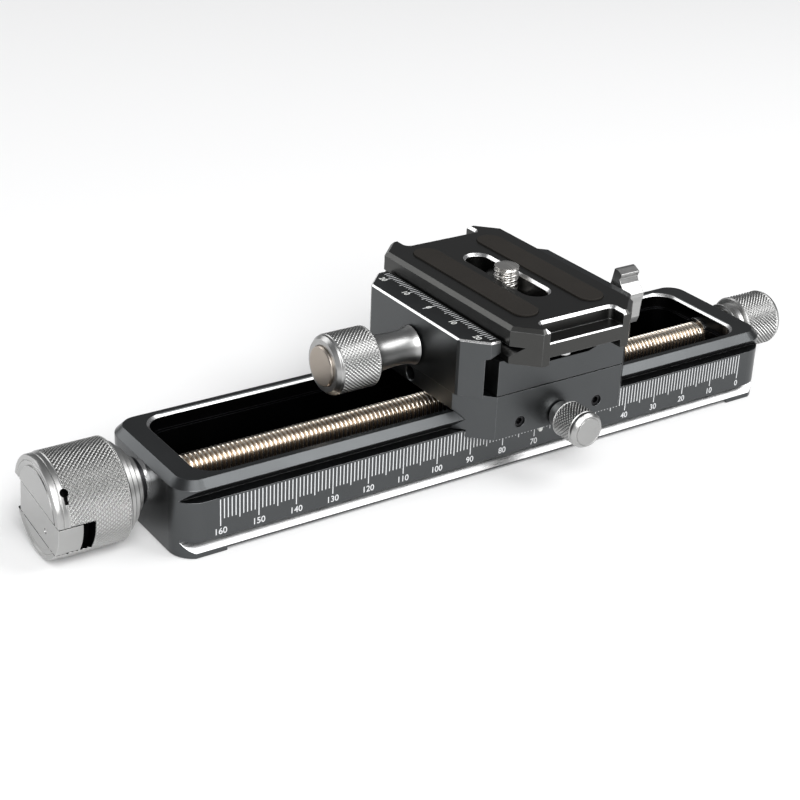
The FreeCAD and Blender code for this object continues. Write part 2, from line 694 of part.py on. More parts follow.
place(carriage, carriage_place, 0, 0)
keep("carriage", carriage)

gib = new_body("gib_strip")
gib_profile = sketch_on(gib, "gib_profile", "YZ_Plane")
outline(gib_profile, [(-gib_back, lip_floor), (-lip_point, lip_floor), (-vee_point, tip_height), (-gib_back, tip_height)])
pad(gib, "gib_bar", gib_profile, 2 * gib_half_length, middle=True)
place(gib, carriage_place, 0, 0)
keep("gib_strip", gib)

for s, word in ((-1, "left"), (1, "right")):
    name = "gib_screw_" + word
    keep(name, turned(name, [(0, gib_back + rest_gap), (adjuster_radius, gib_back + rest_gap),
                             (adjuster_radius, half_block - 0.4), (adjuster_socket, half_block - 0.4),
                             (adjuster_socket, half_block - 1.6), (0, half_block - 1.6)],
                      AGAINST_Y, carriage_place + s * adjuster_spacing / 2, 0, adjuster_height))

# White pointer under the front of the carriage, against which the rail's scale is read
pointer = new_body("index_pointer")
pointer_view = sketch_on(pointer, "pointer_outline", "XZ_Plane", half_width + 0.8)
outline(pointer_view, [(-pointer_width / 2, carriage_bottom - pointer_length * 0.9),
                       (-pointer_width / 4, carriage_bottom - pointer_length),
                       (pointer_width / 4, carriage_bottom - pointer_length),
                       (pointer_width / 2, carriage_bottom - pointer_length * 0.9),
                       (pointer_width / 2, carriage_bottom), (-pointer_width / 2, carriage_bottom)])
pad(pointer, "pointer_pad", pointer_view, pointer_thickness)
place(pointer, carriage_place - pointer_place, 0, 0)
keep("index_pointer", pointer)

# Lock knob on the front of the carriage
keep("lock_stem", turned("lock_stem", rod(lock_stem_radius, gib_back + rest_gap, lock_start + 4.0),
                         AGAINST_Y, carriage_place, 0, lock_height))
keep("lock_knob", turned("lock_knob",
     [(lock_stem_radius, half_block + rest_gap), (lock_collar_radius, half_block + rest_gap),
      (lock_collar_radius, lock_start), (lock_radius - 0.3, lock_start), (lock_radius, lock_start + 0.3),
      (lock_radius, lock_end), (lock_face_radius, lock_face), (0, lock_face),
      (0, lock_start + 4.0), (lock_stem_radius, lock_start + 4.0)], AGAINST_Y, carriage_place, 0, lock_height))

# Half nut: drops over the upper half of the screw, with a yoke that the release shaft lifts
nut = new_body("half_nut")
block = sketch_on(nut, "nut_block", "XY_Plane", screw_height + rest_gap)
rectangle(block, -nut_half_length, -nut_half_width, nut_half_length, nut_half_width)
pad(nut, "nut_block_pad", block, nut_top - screw_height - rest_gap)
foot = sketch_on(nut, "yoke_foot", "XY_Plane", roof + 0.4)
rectangle(foot, -yoke_half, -yoke_front, yoke_half, 0)
pad(nut, "yoke_foot_pad", foot, nut_top - roof - 0.4)
yoke_rear = shaft_side - 3.4
yoke_top = shaft_height + 1.05
post = sketch_on(nut, "yoke_post", "XY_Plane", roof + 0.4)
rectangle(post, -yoke_half, -yoke_front, yoke_half, -yoke_rear)
pad(nut, "yoke_post_pad", post, yoke_top - roof - 0.4)
saddle = sketch_on(nut, "nut_saddle", "YZ_Plane")
circle(saddle, 0, screw_height, screw_radius + running_gap)
pocket(nut, "nut_saddle_cut", saddle, 2 * nut_half_length + beyond, middle=True)
drop = crankpin_throw * math.sin(math.radians(number(crankpin_angle)))
pin_height = shaft_height - drop
eye_half = crankpin_radius + running_gap
eye = sketch_on(nut, "yoke_eye", "YZ_Plane")
rectangle(eye, -(shaft_side + 0.6), pin_height - eye_half, -(shaft_side - 2.4), pin_height + eye_half)
pocket(nut, "yoke_eye_cut", eye, yoke_thickness + beyond, middle=True)
place(nut, carriage_place, 0, 0)
keep("half_nut", nut)

# Release shaft across the clamp base, with an offset pin in the yoke
shaft = turned("release_shaft", rod(shaft_radius, 0, half_carriage + rest_gap + lever_width - 1.2 - shaft_inner),
               ALONG_X, carriage_place + shaft_inner, -shaft_side, shaft_height)
pin = sketch_on(shaft, "crankpin", "XY_Plane")
swing = math.radians(number(crankpin_angle))
circle(pin, crankpin_throw * math.sin(swing), crankpin_throw * math.cos(swing), crankpin_radius)
pad(shaft, "crankpin_pad", pin, shaft_inner + yoke_half - 0.2, back=True)
keep("release_shaft", shaft)

lever = new_body("release_lever")
lever_view = sketch_on(lever, "lever_profile", "YZ_Plane")
outline(lever_view, [(-0.3, -2.5), (-1.8, -1.8), (-2.5, 0.0), (-2.6, 1.6), (-2.9, 4.4), (-3.35, 6.0),
                     (-3.3, 6.9), (-0.95, 9.4), (-0.3, 10.6), (-1.0, 12.0), (1.0, 13.0), (1.9, 13.1),
                     (2.6, 10.1), (3.1, 8.2), (2.7, 4.4), (2.5, 0.0), (1.7, -1.8)])
pad(lever, "lever_pad", lever_view, lever_width)
lever_bore = sketch_on(lever, "lever_bore", "YZ_Plane")
circle(lever_bore, 0, 0, shaft_radius)
pocket(lever, "lever_bore_cut", lever_bore, lever_width - 1.2, back=True)
dress(lever, "Fillet", "lever_soft_edges", Size("0.35", 0.35),
      lambda p, d, e: abs(d.x) > 0.99 and p.z > 4.0)
place(lever, carriage_place + half_carriage + rest_gap, -shaft_side, shaft_height)
keep("release_lever", lever)

# Clamp base: seat for the plate and the fixed jaw
plate_half = plate_width / 2
neck_half = plate_half - plate_groove
flange_top = plate_bottom + plate_flange
groove_top = flange_top + plate_groove
flank_gap = slide_gap
wall = plate_half + rest_gap
nose_top = groove_top - rest_gap
nose_point = neck_half + rest_gap + flank_gap
base_floor = carriage_top + joint_line
jaw_underside = clamp_floor + jaw_rise
land_bottom = jaw_underside + land_rise

base = new_body("clamp_base")
base_view = sketch_on(base, "clamp_base_outline", "XY_Plane", base_floor)
outline(base_view, [(-base_left, -half_block), (half_carriage - carriage_cut, -half_block),
                    (half_carriage, -(half_block - carriage_cut)), (half_carriage, half_block - carriage_cut),
                    (half_carriage - carriage_cut, half_block), (-base_left, half_block)])
pad(base, "clamp_base_block", base_view, clamp_top - base_floor)
seat_view = sketch_on(base, "plate_seat", "XZ_Plane")
outline(seat_view, [(-(base_left + beyond), clamp_floor), (wall, clamp_floor),
                    (wall, plate_bottom + plate_flange - rest_gap + flank_gap),
                    (nose_point, nose_top), (wall + 0.2, nose_top), (wall + 0.2, clamp_top + beyond),
                    (-(base_left + beyond), clamp_top + beyond)])
pocket(base, "plate_seat_cut", seat_view, carriage_width + beyond, middle=True)
dress(base, "Chamfer", "clamp_base_top_edge", clamp_chamfer,
      lambda p, d, e: near(p.z, clamp_top) and (p.x > number(wall) + 1.0))
for s, word in ((-1, "front"), (1, "rear")):
    nose_end = sketch_on(base, "nose_end_" + word, "XY_Plane", clamp_floor)
    rectangle(nose_end, 0, s * nose_half_length, land_side, s * (half_block + beyond))
    pocket(base, "nose_end_cut_" + word, nose_end, clamp_top - clamp_floor + beyond, back=True)
    way = sketch_on(base, "stop_way_" + word, "XZ_Plane", -s * (half_block - stop_way_depth))
    outline(way, [(-(stop_way + 0.7), clamp_floor + 0.1), (-stop_way, stop_way_floor + 1.0),
                  (-(stop_way - 2.8), stop_way_floor), (stop_way - 2.8, stop_way_floor),
                  (stop_way, stop_way_floor + 1.0), (stop_way + 0.7, clamp_floor + 0.1)])
    pocket(base, "stop_way_cut_" + word, way, stop_way_depth + beyond, back=(s < 0))
    relief = sketch_on(base, "seat_relief_" + word, "XZ_Plane", -s * (half_block - relief_depth))
    outline(relief, [(relief_side - relief_width, clamp_floor + 0.1),
                     (relief_side - relief_width + 0.7, relief_floor + 2.3), (relief_side, relief_floor),
                     (relief_side, clamp_floor + 0.1)])
    pocket(base, "seat_relief_cut_" + word, relief, relief_depth + beyond, back=(s < 0))
cavity = sketch_on(base, "yoke_cavity", "XY_Plane", base_floor)
rectangle(cavity, -(yoke_half + rest_gap), -(yoke_front + rest_gap), yoke_half + rest_gap, -(yoke_rear - rest_gap))
pocket(base, "yoke_cavity_cut", cavity, yoke_top + nut_lift + 0.2 - base_floor, back=True)
shaft_bore = sketch_on(base, "shaft_bore", "YZ_Plane")
circle(shaft_bore, -shaft_side, shaft_height, shaft_radius + running_gap)
pocket(base, "shaft_bore_cut", shaft_bore, half_carriage + beyond, back=True)
screw_bore = sketch_on(base, "clamp_screw_bore", "YZ_Plane", -(base_left + 1.0))
circle(screw_bore, 0, clamp_screw_height, clamp_screw_radius + running_gap)
circle(screw_bore, -guide_spacing / 2, guide_height, guide_radius + running_gap)
circle(screw_bore, guide_spacing / 2, guide_height, guide_radius + running_gap)
pocket(base, "clamp_screw_bore_cut", screw_bore, base_bore, back=True)
counterbores = sketch_on(base, "fixing_counterbores", "XY_Plane", clamp_floor)
clearances = sketch_on(base, "fixing_clearances", "XY_Plane", clamp_floor)
for x in (-1, 1):
    for s in (-1, 1):
        circle(counterbores, x * fixing_spacing / 2, s * fixing_side, fixing_head_radius + 0.15)
        circle(clearances, x * fixing_spacing / 2, s * fixing_side, fixing_radius + 0.15)
pocket(base, "fixing_counterbores_cut", counterbores, fixing_head + 0.6)
pocket(base, "fixing_clearances_cut", clearances, clamp_floor - base_floor + beyond)
place(base, carriage_place, 0, 0)
keep("clamp_base", base)

head_seat = clamp_floor - fixing_head - 0.6
for x, xw in ((-1, "left"), (1, "right")):
    for s, yw in ((-1, "front"), (1, "rear")):
        name = "fixing_screw_%s_%s" % (xw, yw)
        keep(name, turned(name, [(0, carriage_top - 3.6), (fixing_radius, carriage_top - 3.6),
                                 (fixing_radius, head_seat), (fixing_head_radius, head_seat),
                                 (fixing_head_radius, head_seat + fixing_head),
                                 (1.25, head_seat + fixing_head), (1.25, head_seat + 1.3), (0, head_seat + 1.3)],
                          ALONG_Z, carriage_place + x * fixing_spacing / 2, s * fixing_side, 0))

# Moving jaw: the same nose, mirrored, over the gap to the base
jaw = new_body("clamp_jaw")
jaw_view = sketch_on(jaw, "jaw_outline", "XY_Plane", base_floor)
outline(jaw_view, [(-jaw_outer, -(half_block - jaw_cut)), (-(jaw_outer - jaw_cut), -half_block),
                   (0, -half_block), (0, half_block), (-(jaw_outer - jaw_cut), half_block),
                   (-jaw_outer, half_block - jaw_cut)])
pad(jaw, "jaw_block", jaw_view, clamp_top - base_floor)
jaw_seat = sketch_on(jaw, "jaw_seat", "XZ_Plane")
outline(jaw_seat, [(-jaw_inner, base_floor - beyond), (-jaw_inner, jaw_underside),
                   (-wall, plate_bottom + plate_flange - rest_gap + flank_gap), (-nose_point, nose_top),
                   (-(wall + 0.2), nose_top), (-(wall + 0.2), clamp_top + beyond), (beyond, clamp_top + beyond),
                   (beyond, base_floor - beyond)])
pocket(jaw, "jaw_seat_cut", jaw_seat, carriage_width + beyond, middle=True)
dress(jaw, "Chamfer", "jaw_top_edge", clamp_chamfer,
      lambda p, d, e: near(p.z, clamp_top) and p.x < -number(wall) - 1.0)
for s, word in ((-1, "front"), (1, "rear")):
    jaw_end = sketch_on(jaw, "jaw_end_" + word, "XZ_Plane", -s * nose_half_length)
    outline(jaw_end, [(-land_side, clamp_top + beyond), (-land_side, land_bottom), (-jaw_inner, jaw_underside),
                      (-jaw_inner, base_floor - beyond), (beyond, base_floor - beyond),
                      (beyond, clamp_top + beyond)])
    pocket(jaw, "jaw_end_cut_" + word, jaw_end, half_block, back=(s < 0))
dress(jaw, "Chamfer", "jaw_edges", Size("0.5", 0.5),
      lambda p, d, e: near(p.x, -number(jaw_outer)) and upright(d))
jaw_bores = sketch_on(jaw, "jaw_bores", "YZ_Plane", -jaw_outer)
circle(jaw_bores, 0, clamp_screw_height, clamp_screw_radius + running_gap)
pocket(jaw, "jaw_bores_cut", jaw_bores, jaw_outer - jaw_inner + beyond, back=True)
guide_holes = sketch_on(jaw, "guide_holes", "YZ_Plane", -(jaw_inner - beyond))
circle(guide_holes, -guide_spacing / 2, guide_height, guide_radius)
circle(guide_holes, guide_spacing / 2, guide_height, guide_radius)
pocket(jaw, "guide_holes_cut", guide_holes, beyond + guide_seat)
place(jaw, carriage_place, 0, 0)
keep("clamp_jaw", jaw)
for s, word in ((-1, "front"), (1, "rear")):
    name = "guide_pin_" + word
    keep(name, cylinder(name, guide_radius, guide_length, ALONG_X, carriage_place - jaw_inner - guide_seat,
                        s * guide_spacing / 2, guide_height))

# Clamp screw, with its knob drawn outwards from the jaw
screw_tip = carriage_place - base_left + base_bore - beyond - rest_gap
keep("clamp_screw", turned("clamp_screw", rod(clamp_screw_radius, -screw_tip, clamp_knob_start + 6.0),
                           AGAINST_X, 0, 0, clamp_screw_height))
keep("clamp_knob", turned("clamp_knob",
     [(clamp_screw_radius, clamp_neck_start), (5.1, clamp_neck_start), (4.7, clamp_neck_start + 1.0),
      (4.4, clamp_neck_start + 2.6), (4.3, clamp_neck_start + 5.0), (4.5, clamp_neck_start + 8.5),
      (5.0, clamp_knob_start - 1.2), (5.6, clamp_knob_start), (clamp_knob_radius - 0.4, clamp_knob_start),
      (clamp_knob_radius, clamp_knob_start + 0.4), (clamp_knob_radius, clamp_knob_end - clamp_knob_chamfer),
      (clamp_knob_radius - 1.1, clamp_knob_end), (clamp_cap_radius + 0.1, clamp_knob_end),
      (clamp_cap_radius + 0.1, clamp_knob_end - 1.0), (0, clamp_knob_end - 1.0),
      (0, clamp_knob_start + 6.0), (clamp_screw_radius, clamp_knob_start + 6.0)],
     AGAINST_X, 0, 0, clamp_screw_height))
keep("clamp_knob_cap", turned("clamp_knob_cap",
     [(0, clamp_knob_end - 0.9), (clamp_cap_radius, clamp_knob_end - 0.9),
      (clamp_cap_radius, clamp_knob_face - 0.3), (clamp_cap_radius - 0.3, clamp_knob_face), (0, clamp_knob_face)],
     AGAINST_X, 0, 0, clamp_screw_height))

# Quick-release plate
half_plate = plate_length / 2
plate = new_body("quick_release_plate")
plate_view = sketch_on(plate, "plate_outline", "XY_Plane", plate_bottom)
outline(plate_view, [(-plate_half, -(half_plate - plate_cut)), (-(plate_half - plate_cut), -half_plate),
                     (plate_half - plate_cut, -half_plate), (plate_half, -(half_plate - plate_cut)),
                     (plate_half, half_plate - plate_cut), (plate_half - plate_cut, half_plate),
                     (-(plate_half - plate_cut), half_plate), (-plate_half, half_plate - plate_cut)])
pad(plate, "plate_block", plate_view, plate_top - plate_bottom)
dress(plate, "Chamfer", "plate_top_edge", plate_bevel, lambda p, d, e: near(p.z, plate_top))
for s, word in ((-1, "left"), (1, "right")):
    groove = sketch_on(plate, "plate_groove_" + word, "XZ_Plane")
    outline(groove, [(s * neck_half, groove_top), (s * plate_half, flange_top),
                     (s * (plate_half + beyond), flange_top), (s * (plate_half + beyond), groove_top)])
    pocket(plate, "plate_groove_cut_" + word, groove, plate_length + beyond, middle=True)
for s, word in ((-1, "front"), (1, "rear")):
    notch = sketch_on(plate, "notch_" + word, "XY_Plane", plate_top)
    rectangle(notch, -notch_width / 2, s * (half_plate - notch_depth), notch_width / 2, s * (half_plate + beyond))
    pocket(plate, "notch_cut_" + word, notch, notch_height)
    dress(plate, "Fillet", "notch_corners_" + word, notch_corner,
          lambda p, d, e: upright(d) and near(abs(p.x), notch_width / 2) and near(p.y, s * (half_plate - notch_depth)))
    dress(plate, "Chamfer", "notch_rim_" + word, notch_edge,
          lambda p, d, e: near(p.z, plate_top) and abs(p.x) < number(notch_width) / 2 + 0.1
          and s * p.y > number(half_plate - notch_depth) - 0.1
          and s * p.y < number(half_plate - plate_bevel) - 0.01)
    dress(plate, "Chamfer", "notch_lip_" + word, notch_edge / 2,
          lambda p, d, e: near(p.z, plate_top - notch_height) and near(s * p.y, half_plate) and abs(d.x) > 0.99)
slot = sketch_on(plate, "screw_slot", "XY_Plane", plate_top)
rectangle(slot, -slot_width / 2, -slot_length / 2, slot_width / 2, slot_length / 2)
pocket(plate, "screw_slot_cut", slot, plate_top - plate_bottom + beyond)
dress(plate, "Fillet", "screw_slot_ends", slot_width / 2 - 0.01,
      lambda p, d, e: upright(d) and near(abs(p.x), slot_width / 2) and near(abs(p.y), slot_length / 2))
dress(plate, "Chamfer", "screw_slot_rim", slot_edge,
      lambda p, d, e: near(p.z, plate_top) and abs(p.x) < number(slot_width) / 2 + 0.1
      and abs(p.y) < number(slot_length) / 2 + 0.1)
recess = sketch_on(plate, "screw_recess", "XY_Plane", plate_bottom)
rectangle(recess, -recess_width / 2, -recess_length / 2, recess_width / 2, recess_length / 2)
pocket(plate, "screw_recess_cut", recess, recess_height, back=True)
for s, word in ((1, "front"), (-1, "rear")):
    end = sketch_on(plate, "channel_" + word, "XZ_Plane", s * (recess_length / 2 - 1.0))
    rectangle(end, -channel_half, plate_bottom - beyond, channel_half, plate_bottom + channel_height)
    pocket(plate, "channel_cut_" + word, end, half_plate, back=(s > 0))
    tap = sketch_on(plate, "stop_tap_" + word, "XY_Plane", plate_bottom)
    circle(tap, -s * stop_place, -s * stop_side, stop_thread)
    pocket(plate, "stop_tap_cut_" + word, tap, channel_height + 2.2, back=True)
strips = sketch_on(plate, "strip_beds", "XY_Plane", plate_top)
for s in (-1, 1):
    rectangle(strips, s * strip_offset - strip_width / 2, -strip_length / 2,
              s * strip_offset + strip_width / 2, strip_length / 2)
pocket(plate, "strip_beds_cut", strips, strip_depth)
dress(plate, "Fillet", "strip_bed_ends", strip_width / 2 - 0.05,
      lambda p, d, e: upright(d) and near(abs(p.y), strip_length / 2) and p.z > number(plate_top) - number(strip_depth)
      and abs(p.x) > number(strip_offset) - number(strip_width) / 2 - 0.1)
place(plate, carriage_place, 0, 0)
keep("quick_release_plate", plate)

for s, word in ((-1, "left"), (1, "right")):
    name = "rubber_strip_" + word
    strip = new_body(name)
    strip_view = sketch_on(strip, name + "_outline", "XY_Plane", plate_top - strip_depth)
    rectangle(strip_view, -(strip_width / 2 - 0.1), -(strip_length / 2 - 0.1), strip_width / 2 - 0.1, strip_length / 2 - 0.1)
    pad(strip, name + "_pad", strip_view, strip_depth + strip_proud)
    dress(strip, "Fillet", name + "_ends", strip_width / 2 - 0.15, lambda p, d, e: upright(d))
    place(strip, carriage_place + s * strip_offset, 0, 0)
    keep(name, strip)

stop_top = plate_bottom + channel_height
for s, word in ((1, "front"), (-1, "rear")):
    name = "plate_stop_" + word
    keep(name, turned(name, [(0, plate_bottom + 0.3), (stop_radius - 0.3, plate_bottom + 0.3),
                             (stop_radius, plate_bottom + 0.6), (stop_radius, stop_top), (stop_thread, stop_top),
                             (stop_thread, stop_top + 2.0), (0, stop_top + 2.0)],
                      ALONG_Z, carriage_place - s * stop_place, -s * stop_side, 0))

# Camera screw, quarter inch, in a sliding washer that follows the slot
recess_roof = plate_bottom + recess_height
slider_bottom = recess_roof - running_gap - slider_thickness
head_top = slider_bottom - 3 * running_gap
keep("screw_slider", turned("screw_slider",
                            ring(camera_neck_radius + running_gap, slider_radius, slider_bottom,
                                 recess_roof - running_gap), ALONG_Z, carriage_place, 0, 0))
camera = turned("camera_screw",
                [(0, head_top - camera_head), (camera_head_radius, head_top - camera_head),
                 (camera_head_radius, head_top), (camera_neck_radius, head_top),
                 (camera_neck_radius, recess_roof + 1.0), (camera_screw_radius - camera_relief, recess_roof + 1.5),
                 (camera_screw_radius - camera_relief, camera_screw_top - camera_thread - camera_undercut),
                 (camera_neck_radius, camera_screw_top - camera_thread - camera_undercut),
                 (camera_neck_radius, camera_screw_top - camera_thread),
                 (camera_screw_radius, camera_screw_top - camera_thread), (camera_screw_radius, camera_screw_top - 0.6),
                 (camera_screw_radius - 0.6, camera_screw_top), (0, camera_screw_top)],
                ALONG_Z, carriage_place, 0, 0)
drive = sketch_on(camera, "camera_screw_slot", "XY_Plane", head_top - camera_head)
rectangle(drive, -drive_length / 2, -drive_width / 2, drive_length / 2, drive_width / 2)
pocket(camera, "camera_screw_slot_cut", drive, drive_depth, back=True)
keep("camera_screw", camera)

doc.recompute()
faults = [o.Name for o in doc.Objects if "Invalid" in o.State or "Error" in o.State]
if faults:
    raise ValueError("faulty objects: %s" % faults)
for name, thing in pieces.items():
    shape = thing.Shape
    if shape.isNull() or not shape.isValid() or len(shape.Solids) < 1 or shape.Volume <= 0:
        raise ValueError("%s has no valid shape" % name)
for name, thing in pieces.items():
    thing.Shape.exportStep("parts/%s.step" % name)
    print("%-24s %2d solid %9.1f mm3" % (name, len(thing.Shape.Solids), thing.Shape.Volume))
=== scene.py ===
import json
import math

import bpy
import bmesh
from mathutils import Matrix, Vector


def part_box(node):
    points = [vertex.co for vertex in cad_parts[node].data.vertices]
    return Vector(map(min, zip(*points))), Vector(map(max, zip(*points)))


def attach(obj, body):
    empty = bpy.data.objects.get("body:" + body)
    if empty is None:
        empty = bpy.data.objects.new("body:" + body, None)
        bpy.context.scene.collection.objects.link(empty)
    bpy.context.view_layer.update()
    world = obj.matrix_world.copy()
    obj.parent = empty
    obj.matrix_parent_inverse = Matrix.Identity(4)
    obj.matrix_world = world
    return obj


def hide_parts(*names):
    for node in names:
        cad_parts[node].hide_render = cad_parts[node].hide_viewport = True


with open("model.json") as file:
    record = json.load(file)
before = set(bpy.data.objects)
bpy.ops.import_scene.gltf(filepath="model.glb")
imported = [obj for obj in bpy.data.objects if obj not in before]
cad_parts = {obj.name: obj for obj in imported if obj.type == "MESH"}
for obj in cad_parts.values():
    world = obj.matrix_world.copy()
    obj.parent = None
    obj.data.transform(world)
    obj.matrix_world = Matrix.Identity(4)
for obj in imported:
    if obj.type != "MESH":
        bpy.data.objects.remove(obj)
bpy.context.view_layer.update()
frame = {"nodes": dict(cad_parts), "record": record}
nodes = frame["nodes"]
scene = bpy.context.scene
MM = 0.001

# Places shared by several pieces, in mm
SPINDLE_Z = 12.6
CLAMP_AXIS_Z = 30.6
LOCK_AXIS_Z = 15.7
CARRIAGE_X = 12.7

# The camera of the photograph, worked out from the engraved scale
FOCAL_LENGTH = 78.95
SENSOR_WIDTH = 36.0
CAMERA_PLACE = (-0.24396, -0.32502, 0.21233)
CAMERA_RIGHT = (0.83200, -0.55332, 0.04014)
CAMERA_DOWN = (-0.21660, -0.39061, -0.89471)
CAMERA_AHEAD = (0.51074, 0.73571, -0.44484)


def make_camera():
    data = bpy.data.cameras.new("camera")
    data.sensor_fit = "HORIZONTAL"
    data.sensor_width = SENSOR_WIDTH
    data.lens = FOCAL_LENGTH
    data.clip_start = 0.01
    data.clip_end = 20.0
    camera = bpy.data.objects.new("camera", data)
    turn = Matrix((Vector(CAMERA_RIGHT), -Vector(CAMERA_DOWN), -Vector(CAMERA_AHEAD))).transposed().to_4x4()
    camera.matrix_world = Matrix.Translation(CAMERA_PLACE) @ turn
    scene.collection.objects.link(camera)
    scene.camera = camera


make_camera()


# Studio: each light's name, place and size in metres, and its power in watts
LIGHTS = (
    ("key", (-0.5, -1.4, 1.1), (1.4, 1.4), 41),
    ("side", (-0.8, 1.4, 1.0), (0.9, 1.2), 9),
    ("right", (0.8, -0.7, 1.15), (0.9, 0.9), 11),
)
SKY_COLOUR = (0.97, 0.98, 1.0, 1)
SKY_STRENGTH = 0.20
FLOOR_REACH = 6.0
FLOOR_DROP = 0.0002
FLOOR_COLOUR = (0.93, 0.93, 0.93, 1)


def make_light(name, place, size, power):
    data = bpy.data.lights.new(name, "AREA")
    data.shape = "RECTANGLE"
    data.size, data.size_y = size
    data.energy = power
    light = bpy.data.objects.new(name, data)
    light.location = place
    light.rotation_euler = (-Vector(place)).to_track_quat("-Z", "Y").to_euler()
    scene.collection.objects.link(light)


def make_world():
    world = bpy.data.worlds.new("world")
    world.use_nodes = True
    background = world.node_tree.nodes["Background"]
    background.inputs["Color"].default_value = SKY_COLOUR
    background.inputs["Strength"].default_value = SKY_STRENGTH
    scene.world = world


def make_floor():
    far = FLOOR_REACH
    mesh = bpy.data.meshes.new("floor")
    mesh.from_pydata([(-far, -far, 0), (far, -far, 0), (far, far, 0), (-far, far, 0)], [], [(0, 1, 2, 3)])
    floor = bpy.data.objects.new("floor", mesh)
    floor.location.z = -FLOOR_DROP
    scene.collection.objects.link(floor)
    paper = bpy.data.materials.new("floor_paper")
    paper.use_nodes = True
    surface = paper.node_tree.nodes["Principled BSDF"]
    surface.inputs["Base Color"].default_value = FLOOR_COLOUR
    surface.inputs["Roughness"].default_value = 0.9
    mesh.materials.append(paper)


make_world()
make_floor()
for light_row in LIGHTS:
    make_light(*light_row)
scene.view_settings.view_transform = "Standard"
scene.view_settings.look = "None"


# Materials
class Graph:
    """A short way to write a material's nodes."""

    def __init__(self, name):
        self.material = bpy.data.materials.new(name)
        self.material.use_nodes = True
        self.tree = self.material.node_tree
        self.surface = self.tree.nodes["Principled BSDF"]
        coordinates = self.add("ShaderNodeTexCoord")
        self.place = coordinates.outputs["Object"]
        self.normal = coordinates.outputs["Normal"]

    def add(self, kind, **values):
        node = self.tree.nodes.new(kind)
        for key, value in values.items():
            setattr(node, key, value)
        return node

    def feed(self, socket, value):
        if isinstance(value, bpy.types.NodeSocket):
            self.tree.links.new(value, socket)
        else:
            socket.default_value = value

    def math(self, operation, a, b=0.0):
        node = self.add("ShaderNodeMath", operation=operation)
        for socket, value in zip(node.inputs, (a, b)):
            self.feed(socket, value)
        return node.outputs[0]

    def product(self, a, b):
        return self.math("MULTIPLY", a, b)

    def size(self, value):
        return self.math("ABSOLUTE", value)

    def noise(self, scale, detail=3.0, rough=0.5, vector=None):
        node = self.add("ShaderNodeTexNoise")
        self.feed(node.inputs["Vector"], vector or self.place)
        node.inputs["Scale"].default_value = scale
        node.inputs["Detail"].default_value = detail
        node.inputs["Roughness"].default_value = rough
        return node.outputs["Fac"]

    def stretch(self, factors):
        node = self.add("ShaderNodeVectorMath", operation="MULTIPLY")
        self.feed(node.inputs[0], self.place)
        node.inputs[1].default_value = factors
        return node.outputs[0]

    def split(self, vector):
        node = self.add("ShaderNodeSeparateXYZ")
        self.feed(node.inputs[0], vector)
        return node.outputs

    def mix(self, share, a, b):
        node = self.add("ShaderNodeMix", data_type="RGBA")
        self.feed(node.inputs["Factor"], share)
        self.feed(node.inputs["A"], a)
        self.feed(node.inputs["B"], b)
        return node.outputs["Result"]

    def range(self, value, low, high, to_low=0.0, to_high=1.0):
        node = self.add("ShaderNodeMapRange")
        self.feed(node.inputs["Value"], value)
        bounds = {"From Min": low, "From Max": high, "To Min": to_low, "To Max": to_high}
        for name, bound in bounds.items():
            node.inputs[name].default_value = bound
        return node.outputs["Result"]

    def bump(self, height, strength, distance, normal=None):
        node = self.add("ShaderNodeBump")
        node.inputs["Strength"].default_value = strength
        node.inputs["Distance"].default_value = distance
        self.feed(node.inputs["Height"], height)
        if normal is not None:
            self.feed(node.inputs["Normal"], normal)
        return node.outputs["Normal"]

    def soft_edges(self, radius):
        """Rounded shading at the edges, and a mask that is 1 on them."""
        rounded = self.add("ShaderNodeBevel", samples=6)
        rounded.inputs["Radius"].default_value = radius
        geometry = self.add("ShaderNodeNewGeometry")
        product = self.add("ShaderNodeVectorMath", operation="DOT_PRODUCT")
        self.feed(product.inputs[0], rounded.outputs[0])
        self.feed(product.inputs[1], geometry.outputs["Normal"])
        return rounded.outputs[0], self.range(product.outputs["Value"], 0.995, 0.90)

    def hollows(self):
        """1 in the grooves between raised points, such as a knurl's, and 0 elsewhere."""
        geometry = self.add("ShaderNodeNewGeometry")
        return self.range(geometry.outputs["Pointiness"], 0.40, 0.49, 1.0, 0.0)

    def inside(self, value, low, high, blur=0.00005):
        """1 where value lies between two bounds."""
        up = self.range(value, low - blur, low + blur)
        down = self.range(value, high - blur, high + blur, 1.0, 0.0)
        return self.product(up, down)

    def finish(self, colour, roughness, normal, metallic=1.0, **extra):
        self.feed(self.surface.inputs["Base Color"], colour)
        self.feed(self.surface.inputs["Roughness"], roughness)
        self.feed(self.surface.inputs["Normal"], normal)
        self.feed(self.surface.inputs["Metallic"], metallic)
        for name, value in extra.items():
            self.surface.inputs[name].default_value = value
        return self.material


def rgb(r, g, b):
    return (r, g, b, 1.0)


